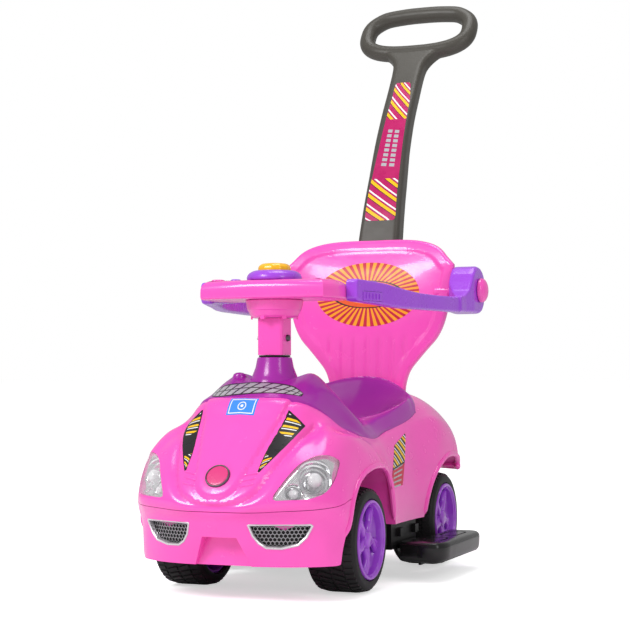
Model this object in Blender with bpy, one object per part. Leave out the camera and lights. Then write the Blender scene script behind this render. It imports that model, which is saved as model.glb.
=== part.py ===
"""Foot-to-floor ride-on car with a steering console, guard arms, backrest and push handle.

Metres, +Z up. The car faces -Y and its left side is +X. Y is measured from the front axle on
the car's own empty, which stands so that the origin lies in the middle of the whole footprint.
"""
import math

import bmesh
import bpy
import numpy as np
from mathutils import Matrix, Vector
from mathutils.bvhtree import BVHTree

MM = 0.001

# Driving sizes of the whole car
WHEELBASE = 0.334
HALF_WIDTH = 0.150
FRONT_OVERHANG = 0.182
REAR_OVERHANG = 0.100
HOOD_TOP_Z = 0.259
GAP = 0.0004
SHELL = 0.0034

# Wheels
TYRE_RADIUS = 0.070
TYRE_WIDTH = 0.072
TYRE_INSET = 0.0025
TYRE_SEGMENTS = 32
LUG_DEPTH = 0.0022
RIM_RADIUS = 0.0532
RIM_WALL = 0.0032
RIM_SEGMENTS = 20
HUB_RADIUS = 0.0125
AXLE_RADIUS = 0.004
BORE_CLEARANCE = 0.0004
SPOKES = 5
NUT_RADIUS = 0.0075
NUT_LENGTH = 0.0042

# Steering
COLUMN_Y = 0.017
COLUMN_RADIUS = 0.006
STEER_ARM = 0.030
KINGPIN_INSET = 0.090
KINGPIN_RADIUS = 0.004
TIE_PLAY = 0.0022
CRANK_Z = 0.0765
PLATE = 0.003
CONE_BASE_RADIUS = 0.033
CONE_TOP_RADIUS = 0.0232
CONE_HEIGHT = 0.031
BUSH_FLANGE = 0.0024
SLEEVE_HALF = 0.0185
SLEEVE_HEIGHT = 0.0508
BOLT_RADIUS = 0.0025
HUB_HEIGHT = 0.0245
HUB_BOTTOM_RADIUS = 0.033
HUB_TOP_RADIUS = 0.040
CONSOLE_HEIGHT = 0.0263
CONSOLE_RADIUS = 0.102
CONSOLE_FRONT = 0.047
CONSOLE_REAR = 0.056
CONSOLE_WALL = 0.003
DOME_RADIUS = 0.038
DOME_HEIGHT = 0.0138
HORN_RADIUS = 0.0228
HORN_PROUD = 0.0105
HORN_TRAVEL = 0.003
TUNE_PINK_X = -0.080
TUNE_PURPLE_X = -0.053
TUNE_PINK_RADIUS = 0.0095
TUNE_PURPLE_RADIUS = 0.0075
TUNE_PROUD = 0.0032

# Guard arms
COLLAR_GAP = 0.0006
ARM_HALF = 0.009
PIVOT_ABOVE = 0.001
EAR_INNER_X = 0.1435
EAR_OUTER_X = 0.183
KNOB_RADIUS = 0.0190
KNOB_HEIGHT = 0.0125
PIN_RADIUS = 0.005
LATCH_TRAVEL = 0.003

# Backrest and push handle
BACK_WALL = 0.013
BACK_HALF_WIDTH = 0.143
BACK_Y = 0.062
BOSS_RADIUS = 0.0115
SOCKET_WALL = 0.0036
SOCKET_FLOOR = 0.0036
ROD_CLEARANCE = 0.0004
ROD_HALF_WIDTH = 0.036
ROD_HALF_DEPTH = 0.017
ROD_BEHIND = 0.114
ROD_LOW_Z = 0.335
SOCKET_HIGH_Z = 0.448
GRIP_TUBE = 0.0140
GRIP_HALF_WIDTH = 0.0935
GRIP_HALF_HEIGHT = 0.0475
LOCK_RADIUS = 0.007
LOCK_TRAVEL = 0.0025

# Footrests and underbody
FOOTREST_WIDTH = 0.0575
FOOTREST_FRONT_Y = 0.129
FOOTREST_LENGTH = 0.202
FOOTREST_TOP_Z = 0.054
FOOTREST_BOTTOM_Z = 0.026
CHASSIS_BOTTOM_Z = 0.044
CHASSIS_INSET = 0.016

# The size at which the body's lines below are drawn, in millimetres
DRAWN_HALF_WIDTH = 150.0
DRAWN_WHEELBASE = 334.0
DRAWN_FRONT = 182.0
DRAWN_REAR = 100.0
DRAWN_HOOD_Z = 259.0
FIXED_NOSE_Y = -112.0
FIXED_WAIST_FRONT = 112.0
FIXED_WAIST_REAR = 224.0
FIXED_TAIL_Y = 406.0
FIXED_ARCH_Z = 176.0

# Sizes that follow from the ones above
TRACK_HALF = HALF_WIDTH - TYRE_INSET - TYRE_WIDTH / 2
KINGPIN_X = HALF_WIDTH - KINGPIN_INSET


def clear_scene():
    for item in list(bpy.data.objects):
        bpy.data.objects.remove(item, do_unlink=True)


clear_scene()
CAR = bpy.data.objects.new("car_frame", None)
bpy.context.collection.objects.link(CAR)
bpy.context.view_layer.update()


def make_material(name, colour, roughness, metallic=0.0, alpha=1.0):
    """A Principled material of one finish."""
    material = bpy.data.materials.new(name)
    material.use_nodes = True
    shader = material.node_tree.nodes["Principled BSDF"]
    shader.inputs["Base Color"].default_value = (*colour, 1.0)
    shader.inputs["Roughness"].default_value = roughness
    shader.inputs["Metallic"].default_value = metallic
    shader.inputs["Alpha"].default_value = alpha
    material.diffuse_color = (*colour, alpha)
    return material


PINK = (0.91, 0.10, 0.47)
DEEP_PINK = (0.72, 0.04, 0.28)
PURPLE = (0.40, 0.05, 0.50)
VIOLET = (0.28, 0.06, 0.62)
YELLOW = (0.92, 0.50, 0.01)
BLACK = (0.012, 0.012, 0.013)
GREY = (0.075, 0.072, 0.066)
SILVER = (0.55, 0.55, 0.57)


def fit_drawn(point):
    """Stretches a point of the body's drawing, in millimetres, to the car's driving sizes."""
    x, y, z = point
    base = WHEELBASE / MM
    if y < FIXED_NOSE_Y:
        reach = (FRONT_OVERHANG / MM + FIXED_NOSE_Y) / (DRAWN_FRONT + FIXED_NOSE_Y)
        y_out = FIXED_NOSE_Y + (y - FIXED_NOSE_Y) * reach
    elif y < FIXED_WAIST_FRONT:
        y_out = y
    elif y < FIXED_WAIST_REAR:
        reach = (base - DRAWN_WHEELBASE) / (FIXED_WAIST_REAR - FIXED_WAIST_FRONT) + 1
        y_out = FIXED_WAIST_FRONT + (y - FIXED_WAIST_FRONT) * reach
    elif y < FIXED_TAIL_Y:
        y_out = y + base - DRAWN_WHEELBASE
    else:
        tail = FIXED_TAIL_Y - DRAWN_WHEELBASE
        reach = (REAR_OVERHANG / MM - tail) / (DRAWN_REAR - tail)
        y_out = base + tail + (y - FIXED_TAIL_Y) * reach
    z_out = z
    if z > FIXED_ARCH_Z:
        reach = (HOOD_TOP_Z / MM - FIXED_ARCH_Z) / (DRAWN_HOOD_Z - FIXED_ARCH_Z)
        z_out = FIXED_ARCH_Z + (z - FIXED_ARCH_Z) * reach
    return (x * HALF_WIDTH / DRAWN_HALF_WIDTH, y_out * MM, z_out * MM)


def smooth_line(points, steps):
    """Points on a Catmull-Rom curve through the given points."""
    pts = np.asarray(points, dtype=float)
    ends = np.concatenate([[2 * pts[0] - pts[1]], pts, [2 * pts[-1] - pts[-2]]])
    out = []
    for i in range(len(pts) - 1):
        a, b, c, d = ends[i:i + 4]
        for k in range(steps):
            t = k / steps
            out.append(0.5 * (2 * b + (c - a) * t + (2 * a - 5 * b + 4 * c - d) * t ** 2
                              + (3 * b - a - 3 * c + d) * t ** 3))
    out.append(pts[-1])
    return np.array(out)


def smooth_grid(rows, row_steps, column_steps):
    """A finer grid of points on the surface through a grid of drawn points."""
    across = np.array([smooth_line(row, column_steps) for row in rows])
    return np.array([smooth_line(across[:, j], row_steps) for j in range(across.shape[1])]).transpose(1, 0, 2)


def both_sides(grid):
    """Adds the mirrored half, from the far edge over the middle to the near edge."""
    mirrored = grid[:, :0:-1].copy()
    mirrored[:, :, 0] *= -1
    return np.concatenate([mirrored, grid], axis=1)


def grid_faces(rows, columns, closed=False):
    faces = []
    last = columns if closed else columns - 1
    for i in range(rows - 1):
        for j in range(last):
            k = (j + 1) % columns
            faces.append((i * columns + j, i * columns + k, (i + 1) * columns + k, (i + 1) * columns + j))
    return faces


def mesh_object(name, verts, faces, material=None, parent=CAR, sharp=35.0):
    """A mesh object whose faces point outwards, shaded smooth up to the sharp angle."""
    mesh = bpy.data.meshes.new(name)
    mesh.from_pydata([tuple(v) for v in verts], [], faces)
    work = bmesh.new()
    work.from_mesh(mesh)
    bmesh.ops.recalc_face_normals(work, faces=work.faces[:])
    work.to_mesh(mesh)
    work.free()
    item = bpy.data.objects.new(name, mesh)
    bpy.context.collection.objects.link(item)
    item.parent = parent
    finish_mesh(item, material, sharp)
    return item


def finish_mesh(item, material, sharp=35.0):
    """Gives the item its own copy of a material and smooth shading up to the sharp angle."""
    if material is not None:
        own = material.copy()
        own.name = item.name
        item.data.materials.clear()
        item.data.materials.append(own)
    item.data.shade_smooth()
    item.data.set_sharp_from_angle(angle=math.radians(sharp))


def apply_modifiers(item):
    """Bakes the item's modifiers into its mesh."""
    graph = bpy.context.evaluated_depsgraph_get()
    baked = bpy.data.meshes.new_from_object(item.evaluated_get(graph))
    item.modifiers.clear()
    item.data = baked
    return item


def combine(item, other, operation, keep=False, solver="EXACT"):
    """Cuts, joins or intersects the item with the other one, which is then removed."""
    modifier = item.modifiers.new(operation.lower(), "BOOLEAN")
    modifier.object = other
    modifier.operation = operation
    modifier.solver = solver
    bpy.context.view_layer.update()
    apply_modifiers(item)
    if not keep:
        bpy.data.objects.remove(other, do_unlink=True)
    return item


def cut(item, other, keep=False):
    return combine(item, other, "DIFFERENCE", keep)


def join(item, other):
    return combine(item, other, "UNION")


def meet(item, other, keep=False):
    return combine(item, other, "INTERSECT", keep)


def copy_of(item, name):
    twin = item.copy()
    twin.data = item.data.copy()
    twin.name = name
    bpy.context.collection.objects.link(twin)
    return twin


def keep_largest(item):
    """Leaves only the largest connected piece of a mesh."""
    work = bmesh.new()
    work.from_mesh(item.data)
    rest = set(work.verts)
    groups = []
    while rest:
        stack = [rest.pop()]
        group = []
        while stack:
            vert = stack.pop()
            group.append(vert)
            near = [edge.other_vert(vert) for edge in vert.link_edges]
            fresh = [other for other in near if other in rest]
            rest.difference_update(fresh)
            stack.extend(fresh)
        groups.append(group)
    groups.sort(key=len)
    for group in groups[:-1]:
        bmesh.ops.delete(work, geom=group, context="VERTS")
    work.to_mesh(item.data)
    work.free()


def tidy_mesh(item, distance=0.00002):
    """Removes slivers that a cut leaves."""
    work = bmesh.new()
    work.from_mesh(item.data)
    bmesh.ops.remove_doubles(work, verts=work.verts[:], dist=distance)
    bmesh.ops.dissolve_degenerate(work, edges=work.edges[:], dist=distance)
    work.to_mesh(item.data)
    work.free()
    return item


def prism(name, outline, axis, low, high, material=None, parent=CAR):
    """An outline drawn on the plane across an axis, stretched from low to high along it."""
    count = len(outline)
    verts = []
    for level in (low, high):
        for a, b in outline:
            point = [a, b]
            point.insert("XYZ".index(axis), level)
            verts.append(point)
    faces = [tuple(range(count)), tuple(range(count, 2 * count))]
    faces += [(i, (i + 1) % count, count + (i + 1) % count, count + i) for i in range(count)]
    return mesh_object(name, verts, faces, material, parent)


def block(name, low, high, material=None, parent=CAR):
    outline = [(low[0], low[1]), (high[0], low[1]), (high[0], high[1]), (low[0], high[1])]
    return prism(name, outline, "Z", low[2], high[2], material, parent)


def rounded_rectangle(half_a, half_b, radius, steps=4, centre=(0.0, 0.0)):
    """The outline of a rectangle with round corners."""
    points = []
    corners = ((1, 1, 0), (-1, 1, 90), (-1, -1, 180), (1, -1, 270))
    for sign_a, sign_b, start in corners:
        for k in range(steps + 1):
            angle = math.radians(start + 90 * k / steps)
            points.append((centre[0] + sign_a * (half_a - radius) + radius * math.cos(angle),
                           centre[1] + sign_b * (half_b - radius) + radius * math.sin(angle)))
    return points


def circle(radius, count, centre=(0.0, 0.0), start=0.0):
    return [(centre[0] + radius * math.cos(start + 2 * math.pi * k / count),
             centre[1] + radius * math.sin(start + 2 * math.pi * k / count)) for k in range(count)]


def turned(name, profile, segments, place, axis="Z", material=None, parent=CAR, ring=False, start=0.0):
    """A profile of (radius, height) turned about an axis. A ring has a closed profile."""
    verts = []
    faces = []
    index = []
    for radius, height in profile:
        if radius < 1e-9:
            index.append([len(verts)] * segments)
            verts.append((0.0, 0.0, height))
        else:
            index.append(list(range(len(verts), len(verts) + segments)))
            for k in range(segments):
                angle = start + 2 * math.pi * k / segments
                verts.append((radius * math.cos(angle), radius * math.sin(angle), height))
    count = len(profile)
    for i in range(count if ring else count - 1):
        low = index[i]
        high = index[(i + 1) % count]
        for k in range(segments):
            m = (k + 1) % segments
            face = []
            for v in (low[k], low[m], high[m], high[k]):
                if v not in face:
                    face.append(v)
            if len(face) > 2:
                faces.append(tuple(face))
    turn = Matrix.Identity(3)
    if axis == "X":
        turn = Matrix.Rotation(math.radians(90), 3, "Y")
    if axis == "-X":
        turn = Matrix.Rotation(math.radians(-90), 3, "Y")
    if axis == "Y":
        turn = Matrix.Rotation(math.radians(-90), 3, "X")
    verts = [turn @ Vector(v) + Vector(place) for v in verts]
    return mesh_object(name, verts, faces, material, parent)


def rod(name, radius, low, high, place, axis="Z", segments=16, material=None, parent=CAR):
    profile = [(0.0, low), (radius, low), (radius, high), (0.0, high)]
    return turned(name, profile, segments, place, axis, material, parent)


def loft(name, sections, material=None, parent=CAR, closed=True):
    """A skin over matching sections, with flat ends."""
    rows = len(sections)
    columns = len(sections[0])
    verts = [p for section in sections for p in section]
    faces = grid_faces(rows, columns, closed)
    faces.append(tuple(range(columns)))
    faces.append(tuple(range((rows - 1) * columns, rows * columns)))
    return mesh_object(name, verts, faces, material, parent)


def offset_grid(grid, distance):
    """Moves a grid of points along its own normals."""
    along = np.gradient(grid, axis=0)
    across = np.gradient(grid, axis=1)
    normal = np.cross(across, along)
    length = np.linalg.norm(normal, axis=2, keepdims=True)
    return grid + normal / np.maximum(length, 1e-12) * distance


def closed_cap(name, grid, floor_z, material=None):
    """A closed solid under a grid of points, down to a flat floor, with the same facets on both sides."""
    rows, columns = grid.shape[:2]
    verts = [tuple(p) for p in grid.reshape(-1, 3)]
    faces = []
    for i in range(rows - 1):
        for j in range(columns - 1):
            a = i * columns + j
            b = a + 1
            c = a + columns
            d = c + 1
            if j < (columns - 1) // 2:
                faces += [(a, b, d), (a, d, c)]
            else:
                faces += [(a, b, c), (b, d, c)]
    rim = [j for j in range(columns)]
    rim += [i * columns + columns - 1 for i in range(1, rows)]
    rim += [(rows - 1) * columns + j for j in range(columns - 2, -1, -1)]
    rim += [i * columns for i in range(rows - 2, 0, -1)]
    base = len(verts)
    for v in rim:
        verts.append((verts[v][0], verts[v][1], floor_z))
    count = len(rim)
    for k in range(count):
        m = (k + 1) % count
        faces.append((rim[k], rim[m], base + m, base + k))
    faces.append(tuple(base + k for k in range(count)))
    return mesh_object(name, verts, faces, material)


# The pink body, drawn in millimetres on the car's left half, from the nose over the top to the
# tail: each row runs from the middle line out to the side and down to the floor line
BODY_ROWS = [
    [(0, -148, 40), (40, -147, 40), (78, -141, 40), (105, -130, 40), (127, -114, 40), (139, -98, 40),
     (146, -82, 40), (148, -70, 40)],
    [(0, -160, 72), (42, -157, 72), (82, -147, 72), (108, -134, 71), (128, -119, 68), (140, -101, 60),
     (147, -84, 50), (148, -66, 40)],
    [(0, -171, 104), (44, -166, 104), (86, -152, 104), (114, -136, 103), (131, -119, 101),
     (142, -100, 90), (148, -78, 70), (149, -50, 40)],
    [(0, -182, 128), (48, -178, 128), (92, -164, 130), (119, -148, 130), (136, -124, 127),
     (147, -100, 116), (150, -68, 88), (150, -30, 40)],
    [(0, -165, 160), (48, -160, 161), (88, -150, 163), (115, -136, 165), (134, -114, 163),
     (146, -84, 148), (150, -44, 108), (150, 0, 40)],
    [(0, -138, 190), (46, -132, 191), (80, -125, 190), (106, -117, 189), (127, -105, 188),
     (143, -66, 174), (150, -20, 128), (150, 28, 40)],
    [(0, -105, 228), (45, -98, 228), (74, -87, 226), (93, -76, 218), (118, -70, 213),
     (139, -34, 197), (150, 6, 148), (149, 54, 40)],
    [(0, -78, 257), (45, -75, 256), (72, -62, 251), (94, -42, 237), (114, -30, 217),
     (137, -2, 199), (149, 34, 152), (147, 78, 40)],
    [(0, -30, 258), (45, -26, 256), (76, -16, 244), (99, -8, 225), (121, -4, 210),
     (139, 24, 192), (148, 56, 148), (143, 98, 40)],
    [(0, 25, 250), (45, 30, 245), (80, 34, 230), (105, 38, 212), (124, 44, 203),
     (137, 58, 184), (144, 76, 140), (142, 112, 40)],
    [(0, 85, 220), (45, 86, 216), (80, 90, 210), (105, 92, 205), (121, 96, 201),
     (131, 102, 184), (138, 112, 138), (141, 135, 40)],
    [(0, 145, 200), (45, 145, 202), (80, 146, 206), (105, 147, 210), (121, 148, 208),
     (130, 150, 188), (137, 155, 140), (141, 168, 40)],
    [(0, 205, 206), (45, 205, 208), (80, 205, 213), (106, 205, 220), (123, 205, 217),
     (132, 206, 195), (138, 208, 143), (142, 212, 40)],
    [(0, 262, 222), (45, 262, 226), (78, 262, 234), (103, 262, 240), (123, 263, 228),
     (137, 262, 210), (144, 258, 155), (145, 252, 40)],
    [(0, 310, 244), (45, 310, 246), (78, 311, 250), (103, 313, 247), (126, 315, 232),
     (144, 312, 213), (149, 304, 160), (148, 295, 40)],
    [(0, 355, 262), (45, 355, 261), (78, 355, 257), (103, 358, 247), (128, 360, 227),
     (145, 358, 203), (150, 352, 155), (149, 345, 40)],
    [(0, 398, 262), (45, 398, 260), (78, 398, 252), (105, 398, 236), (129, 398, 212),
     (145, 394, 184), (149, 390, 140), (148, 385, 40)],
    [(0, 424, 240), (45, 423, 238), (78, 421, 230), (106, 418, 214), (129, 413, 190),
     (143, 408, 162), (147, 403, 120), (147, 396, 40)],
    [(0, 434, 190), (45, 433, 188), (80, 430, 180), (108, 425, 166), (130, 418, 148),
     (142, 412, 125), (146, 407, 92), (147.4, 400.5, 40)],
    [(0, 432, 40), (45, 431, 40), (80, 428, 40), (108, 423, 40), (130, 416, 40),
     (141, 411, 40), (145, 408, 40), (147, 405, 40)],
]

# The purple saddle, drawn the same way from its front lip to its rear rim
SADDLE_ROWS = [
    [(0, -78, 260), (32, -76, 260), (60, -68, 258), (78, -52, 252), (93, -34, 239), (107, -12, 220),
     (122, 20, 208)],
    [(0, -52, 270), (32, -48, 270), (58, -40, 268), (79, -24, 259), (96, -6, 241), (108, 12, 223),
     (122.5, 34, 206)],
    [(0, -15, 280), (32, -10, 281), (57, -2, 284), (79, 8, 270), (96, 18, 249), (109, 28, 229),
     (123, 46, 205)],
    [(0, 22, 284), (31, 24, 286), (55, 27, 290), (79, 31, 268), (97, 36, 247), (110, 44, 229),
     (123.5, 58, 204)],
    [(0, 60, 280), (30, 60, 278), (53, 60, 272), (76, 62, 252), (95, 66, 233), (108, 70, 222),
     (122, 78, 205)],
    [(0, 92, 260), (30, 92, 255), (54, 92, 246), (76, 94, 234), (93, 96, 227), (106, 98, 220),
     (120, 102, 206)],
    [(0, 130, 232), (30, 130, 228), (54, 130, 225), (76, 130, 226), (92, 130, 229), (106, 131, 226),
     (118, 132, 211)],
    [(0, 175, 218), (30, 175, 217), (56, 174, 218), (80, 173, 225), (100, 172, 234), (111, 172, 232),
     (120, 172, 218)],
    [(0, 225, 216), (30, 224, 216), (58, 222, 220), (84, 219, 232), (106, 216, 242), (115, 214, 238),
     (122, 212, 222)],
    [(0, 285, 225), (30, 281, 226), (58, 274, 230), (84, 264, 240), (107, 254, 250), (116, 248, 244),
     (122, 242, 227)],
    [(0, 338, 252), (30, 330, 252), (58, 314, 252), (84, 295, 253), (104, 278, 254), (114, 266, 247),
     (121, 256, 231)],
    [(0, 370, 280), (30, 360, 278), (58, 341, 271), (84, 316, 264), (103, 292, 258), (114, 275, 248),
     (120, 263, 234)],
    [(0, 384, 286), (30, 376, 283), (60, 354, 274), (86, 325, 263), (105, 298, 254), (115, 281, 245),
     (120, 270, 235)],
]


def drawn_surface(rows, row_steps, column_steps):
    """The whole surface, both sides, through the drawn rows."""
    fitted = [[fit_drawn(p) for p in row] for row in rows]
    return both_sides(smooth_grid(fitted, row_steps, column_steps))


def grow(outline, distance):
    """The outline moved outwards, for an outline that runs counterclockwise."""
    count = len(outline)
    out = []
    for i in range(count):
        before = Vector(outline[i]) - Vector(outline[i - 1])
        after = Vector(outline[(i + 1) % count]) - Vector(outline[i])
        n1 = Vector((before.y, -before.x)).normalized()
        n2 = Vector((after.y, -after.x)).normalized()
        mid = (n1 + n2).normalized()
        out.append(tuple(Vector(outline[i]) + mid * distance / max(mid.dot(n1), 0.5)))
    return out


def mirror_copy(item, name, parent=CAR):
    """The same piece on the car's other side."""
    verts = [(-v.co.x, v.co.y, v.co.z) for v in item.data.vertices]
    faces = [tuple(reversed(p.vertices)) for p in item.data.polygons]
    material = item.data.materials[0] if item.data.materials else None
    return mesh_object(name, verts, faces, material, parent)


# Body shell and bumper: one hollow moulding with closed wheel wells, cut apart along the seam
def arch_outline(centre_y, scale, points):
    """A wheel arch in side view, drawn from its wheel's centre."""
    return [(centre_y + y * scale * MM, TYRE_RADIUS + z * scale * MM) for y, z in points]


FRONT_ARCH = [(-94, -120), (-98, -23), (-97, -6), (-92, 13), (-84, 40), (-70, 63), (-50, 80), (-22, 92),
              (6, 97), (36, 97), (62, 94), (84, 87), (99, 76), (108, 62), (113, 38), (117, 3),
              (119, -20), (119, -120)]
REAR_ARCH = [(-104, -120), (-104, -4), (-98, 7), (-90, 23), (-80, 41), (-66, 59), (-48, 75), (-31, 85),
             (-5, 94), (18, 97), (44, 95), (62, 89), (74, 80), (80, 73), (170, 73), (170, -120)]
SEAM_LINE = [(-260, 112), (-180, 116.5), (-160, 119), (-120, 122), (-98, 126), (-80, 130), (-40, 131)]

TYRE_SCALE = TYRE_RADIUS / 0.070
WELL_DEPTH_FRONT = 0.099
WELL_DEPTH_REAR = 0.084
WELL_INNER_FRONT = HALF_WIDTH - WELL_DEPTH_FRONT
WELL_INNER_REAR = HALF_WIDTH - WELL_DEPTH_REAR
WELL_WALL = 0.0028
BUMPER_BOTTOM_Z = 0.047
SILL_Z = 0.080


def counterclockwise(outline):
    area = sum(a[0] * b[1] - b[0] * a[1] for a, b in zip(outline, outline[1:] + outline[:1]))
    return outline if area > 0 else outline[::-1]


def pair_of(item):
    """The item and its mirror image as one cutter."""
    return join(item, mirror_copy(item, item.name + "_twin"))


def well_cutter(name, outline, inner_x, wall):
    """Prisms on both sides that hollow out the wheel wells, grown by the wall."""
    grown = grow(counterclockwise(outline), wall) if wall else outline
    return pair_of(prism(name, grown, "X", inner_x - wall, HALF_WIDTH + 0.05))


def poke(name, outline, centre, direction, low, high, sideways=(0.0, 0.0, 1.0)):
    """An outline stretched along a slanted direction, from low to high along it."""
    w = Vector(direction).normalized()
    v = (Vector(sideways) - w * w.dot(Vector(sideways))).normalized()
    u = v.cross(w)
    verts = []
    for level in (low, high):
        for a, b in outline:
            verts.append(Vector(centre) + u * a + v * b + w * level)
    count = len(outline)
    faces = [tuple(range(count)), tuple(range(count, 2 * count))]
    faces += [(i, (i + 1) % count, count + (i + 1) % count, count + i) for i in range(count)]
    return mesh_object(name, verts, faces)


pink = make_material("body_pink", PINK, 0.28)
front_arch = arch_outline(0.0, TYRE_SCALE, FRONT_ARCH)
rear_arch = arch_outline(WHEELBASE, TYRE_SCALE, REAR_ARCH)
body_grid = drawn_surface(BODY_ROWS, 2, 1)
body = closed_cap("body", body_grid, 0.030)
core_grid = offset_grid(drawn_surface(BODY_ROWS, 1, 1), -SHELL - 0.0010)
core = closed_cap("core", core_grid, 0.020)


def on_body(x, y, z):
    """A place given in the drawing's millimetres, on the car."""
    return Vector(fit_drawn((x, y, z)))


def body_point(x, y):
    """The body surface straight below or above a place of the drawing."""
    px, py, _ = fit_drawn((x, y, 100))
    point, normal, _, _ = SURFACE.ray_cast(Vector((px, py, 1.0)), Vector((0, 0, -1)))
    return point, normal


GRILLE_FACE = (0.34, -0.92, -0.10)
GRILLE_OUTLINE = [(-43, 15), (-37, 0), (-29, -10), (-19, -16), (1, -16.5), (22, -12), (33, -2),
                  (41, 13), (38, 16), (-40, 16.5)]
GRILLE_PLACE = (80, -150, 86)
GRILLE_DEPTH = 0.009
LAMP_FACE = (0.50, -0.76, 0.42)
LAMP_OUTLINE = [(-50, -28), (-30, -31), (-8, -31), (9, -26), (23, -16), (34, 0), (39, 12), (43, 25),
                (36, 29), (24, 30), (8, 28), (-10, 19), (-24, 6), (-38, -10)]
LAMP_PLACE = (112, -132, 160)
LAMP_DEPTH = 0.028
LENS_WALL = 0.0022
EMBLEM_RADIUS = 0.0155
EMBLEM_HEIGHT = 0.0024
EMBLEM_SINK = 0.0015
RECESS_OUTLINE = [(-24, 84), (24, 84), (39, 48), (39, 20), (-39, 20), (-39, 48)]
RECESS_BACK_Y = -145
POCKET_WALL = 0.0024
SKIRT_Z = 0.192


def drawn(outline):
    return [(a * HALF_WIDTH / DRAWN_HALF_WIDTH, b * MM) for a, b in outline]


def lamp_prism(name, grown, low, high):
    outline = grow(counterclockwise(drawn(LAMP_OUTLINE)), grown)
    return poke(name, outline, on_body(*LAMP_PLACE), LAMP_FACE, low, high)


def grille_prism(name, grown):
    outline = grow(counterclockwise(drawn(GRILLE_OUTLINE)), grown)
    return poke(name, outline, on_body(*GRILLE_PLACE), GRILLE_FACE, -0.040, 0.040)


def recess_prism(name, grown):
    outline = grow(counterclockwise(drawn(RECESS_OUTLINE)), grown)
    return prism(name, outline, "Y", -0.4, on_body(0, RECESS_BACK_Y, 0).y + grown)


def body_cap(name, depth):
    """The body's solid shape, shrunk inwards by a depth."""
    grid = offset_grid(body_grid, -depth) if depth else body_grid
    return closed_cap(name, grid, 0.030 - depth)


SURFACE = BVHTree.FromPolygons([v.co for v in body.data.vertices],
                               [tuple(p.vertices) for p in body.data.polygons])

cut(body, well_cutter("well", front_arch, WELL_INNER_FRONT, 0.0))
cut(body, well_cutter("well", rear_arch, WELL_INNER_REAR, 0.0))
below = [(-0.4, -0.1), (0.8, -0.1), (0.8, SILL_Z), (-0.090, SILL_Z), (-0.090, BUMPER_BOTTOM_Z),
         (-0.4, BUMPER_BOTTOM_Z)]
cut(body, prism("below", below, "X", -0.3, 0.3))
cut(core, well_cutter("well", front_arch, WELL_INNER_FRONT, WELL_WALL))
cut(core, well_cutter("well", rear_arch, WELL_INNER_REAR, WELL_WALL))

# Pockets for the lamps, grilles, bumper recess and emblem, each with its own walls
cut(body, pair_of(lamp_prism("lamp", 0.0, -LAMP_DEPTH, 0.060)))
cut(core, pair_of(lamp_prism("lamp", POCKET_WALL, -LAMP_DEPTH - POCKET_WALL, 0.060)))
cut(body, pair_of(cut(grille_prism("grille", 0.0), body_cap("under", GRILLE_DEPTH))))
cut(core, pair_of(cut(grille_prism("grille", POCKET_WALL), body_cap("under", GRILLE_DEPTH + POCKET_WALL))))
cut(body, recess_prism("recess", 0.0))
cut(core, recess_prism("recess", POCKET_WALL))
cut(body, core)

emblem_spot, emblem_normal = body_point(0, -165)
emblem_tilt = Vector((0.0, emblem_normal.y, emblem_normal.z))
emblem_rim = circle(EMBLEM_RADIUS, 32)
cut(body, poke("sink", grow(emblem_rim, GAP), emblem_spot, emblem_tilt, -EMBLEM_SINK, 0.03))

# The steering crank and tie rod pass through the inner walls of the front wells
window_top = CRANK_Z + 0.030
cut(body, block("window", (-0.075, -0.022, 0.05), (0.075, 0.064, window_top)))

# The purple saddle drops into an opening of the body
saddle_grid = drawn_surface(SADDLE_ROWS, 2, 1)
side = saddle_grid.shape[1] - 1
footprint = [tuple(p[:2]) for p in saddle_grid[0]]
footprint += [tuple(p[:2]) for p in saddle_grid[1:, side]]
footprint += [tuple(p[:2]) for p in saddle_grid[-1, ::-1][1:]]
footprint += [tuple(p[:2]) for p in saddle_grid[::-1, 0][1:-1]]
footprint = counterclockwise(footprint)
cut(body, prism("opening", grow(footprint, GAP), "Z", SKIRT_Z - 0.002, 0.6))

back_y = WHEELBASE + BACK_Y
neck_half = 0.062
neck_flare = 0.068
neck_flare_z = 0.250
neck_front = back_y - 0.0085
neck_rear = back_y + 0.0085
neck_slot = [(neck_half + GAP, 0.2), (neck_half + GAP, neck_flare_z), (neck_flare + GAP, neck_flare_z),
             (neck_flare + GAP, 0.4)]
neck_slot += [(-x, z) for x, z in neck_slot[::-1]]
cut(body, prism("neck_slot", neck_slot, "Y", neck_front - GAP - 0.006, neck_rear + GAP))

seam = [(y * MM, z * MM) for y, z in SEAM_LINE]
seam = [(on_body(0, y / MM, 0).y, z) for y, z in seam] + [(-0.040, 0.0), (-0.260, 0.0)]
seam = counterclockwise(seam)
bumper = copy_of(body, "front_bumper")
meet(bumper, prism("seam", grow(seam, -GAP / 2), "X", -0.3, 0.3))
cut(body, prism("seam", grow(seam, GAP / 2), "X", -0.3, 0.3))
for item in (body, bumper):
    keep_largest(item)
    tidy_mesh(item)
    finish_mesh(item, pink)
body.name = "body_shell"

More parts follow.
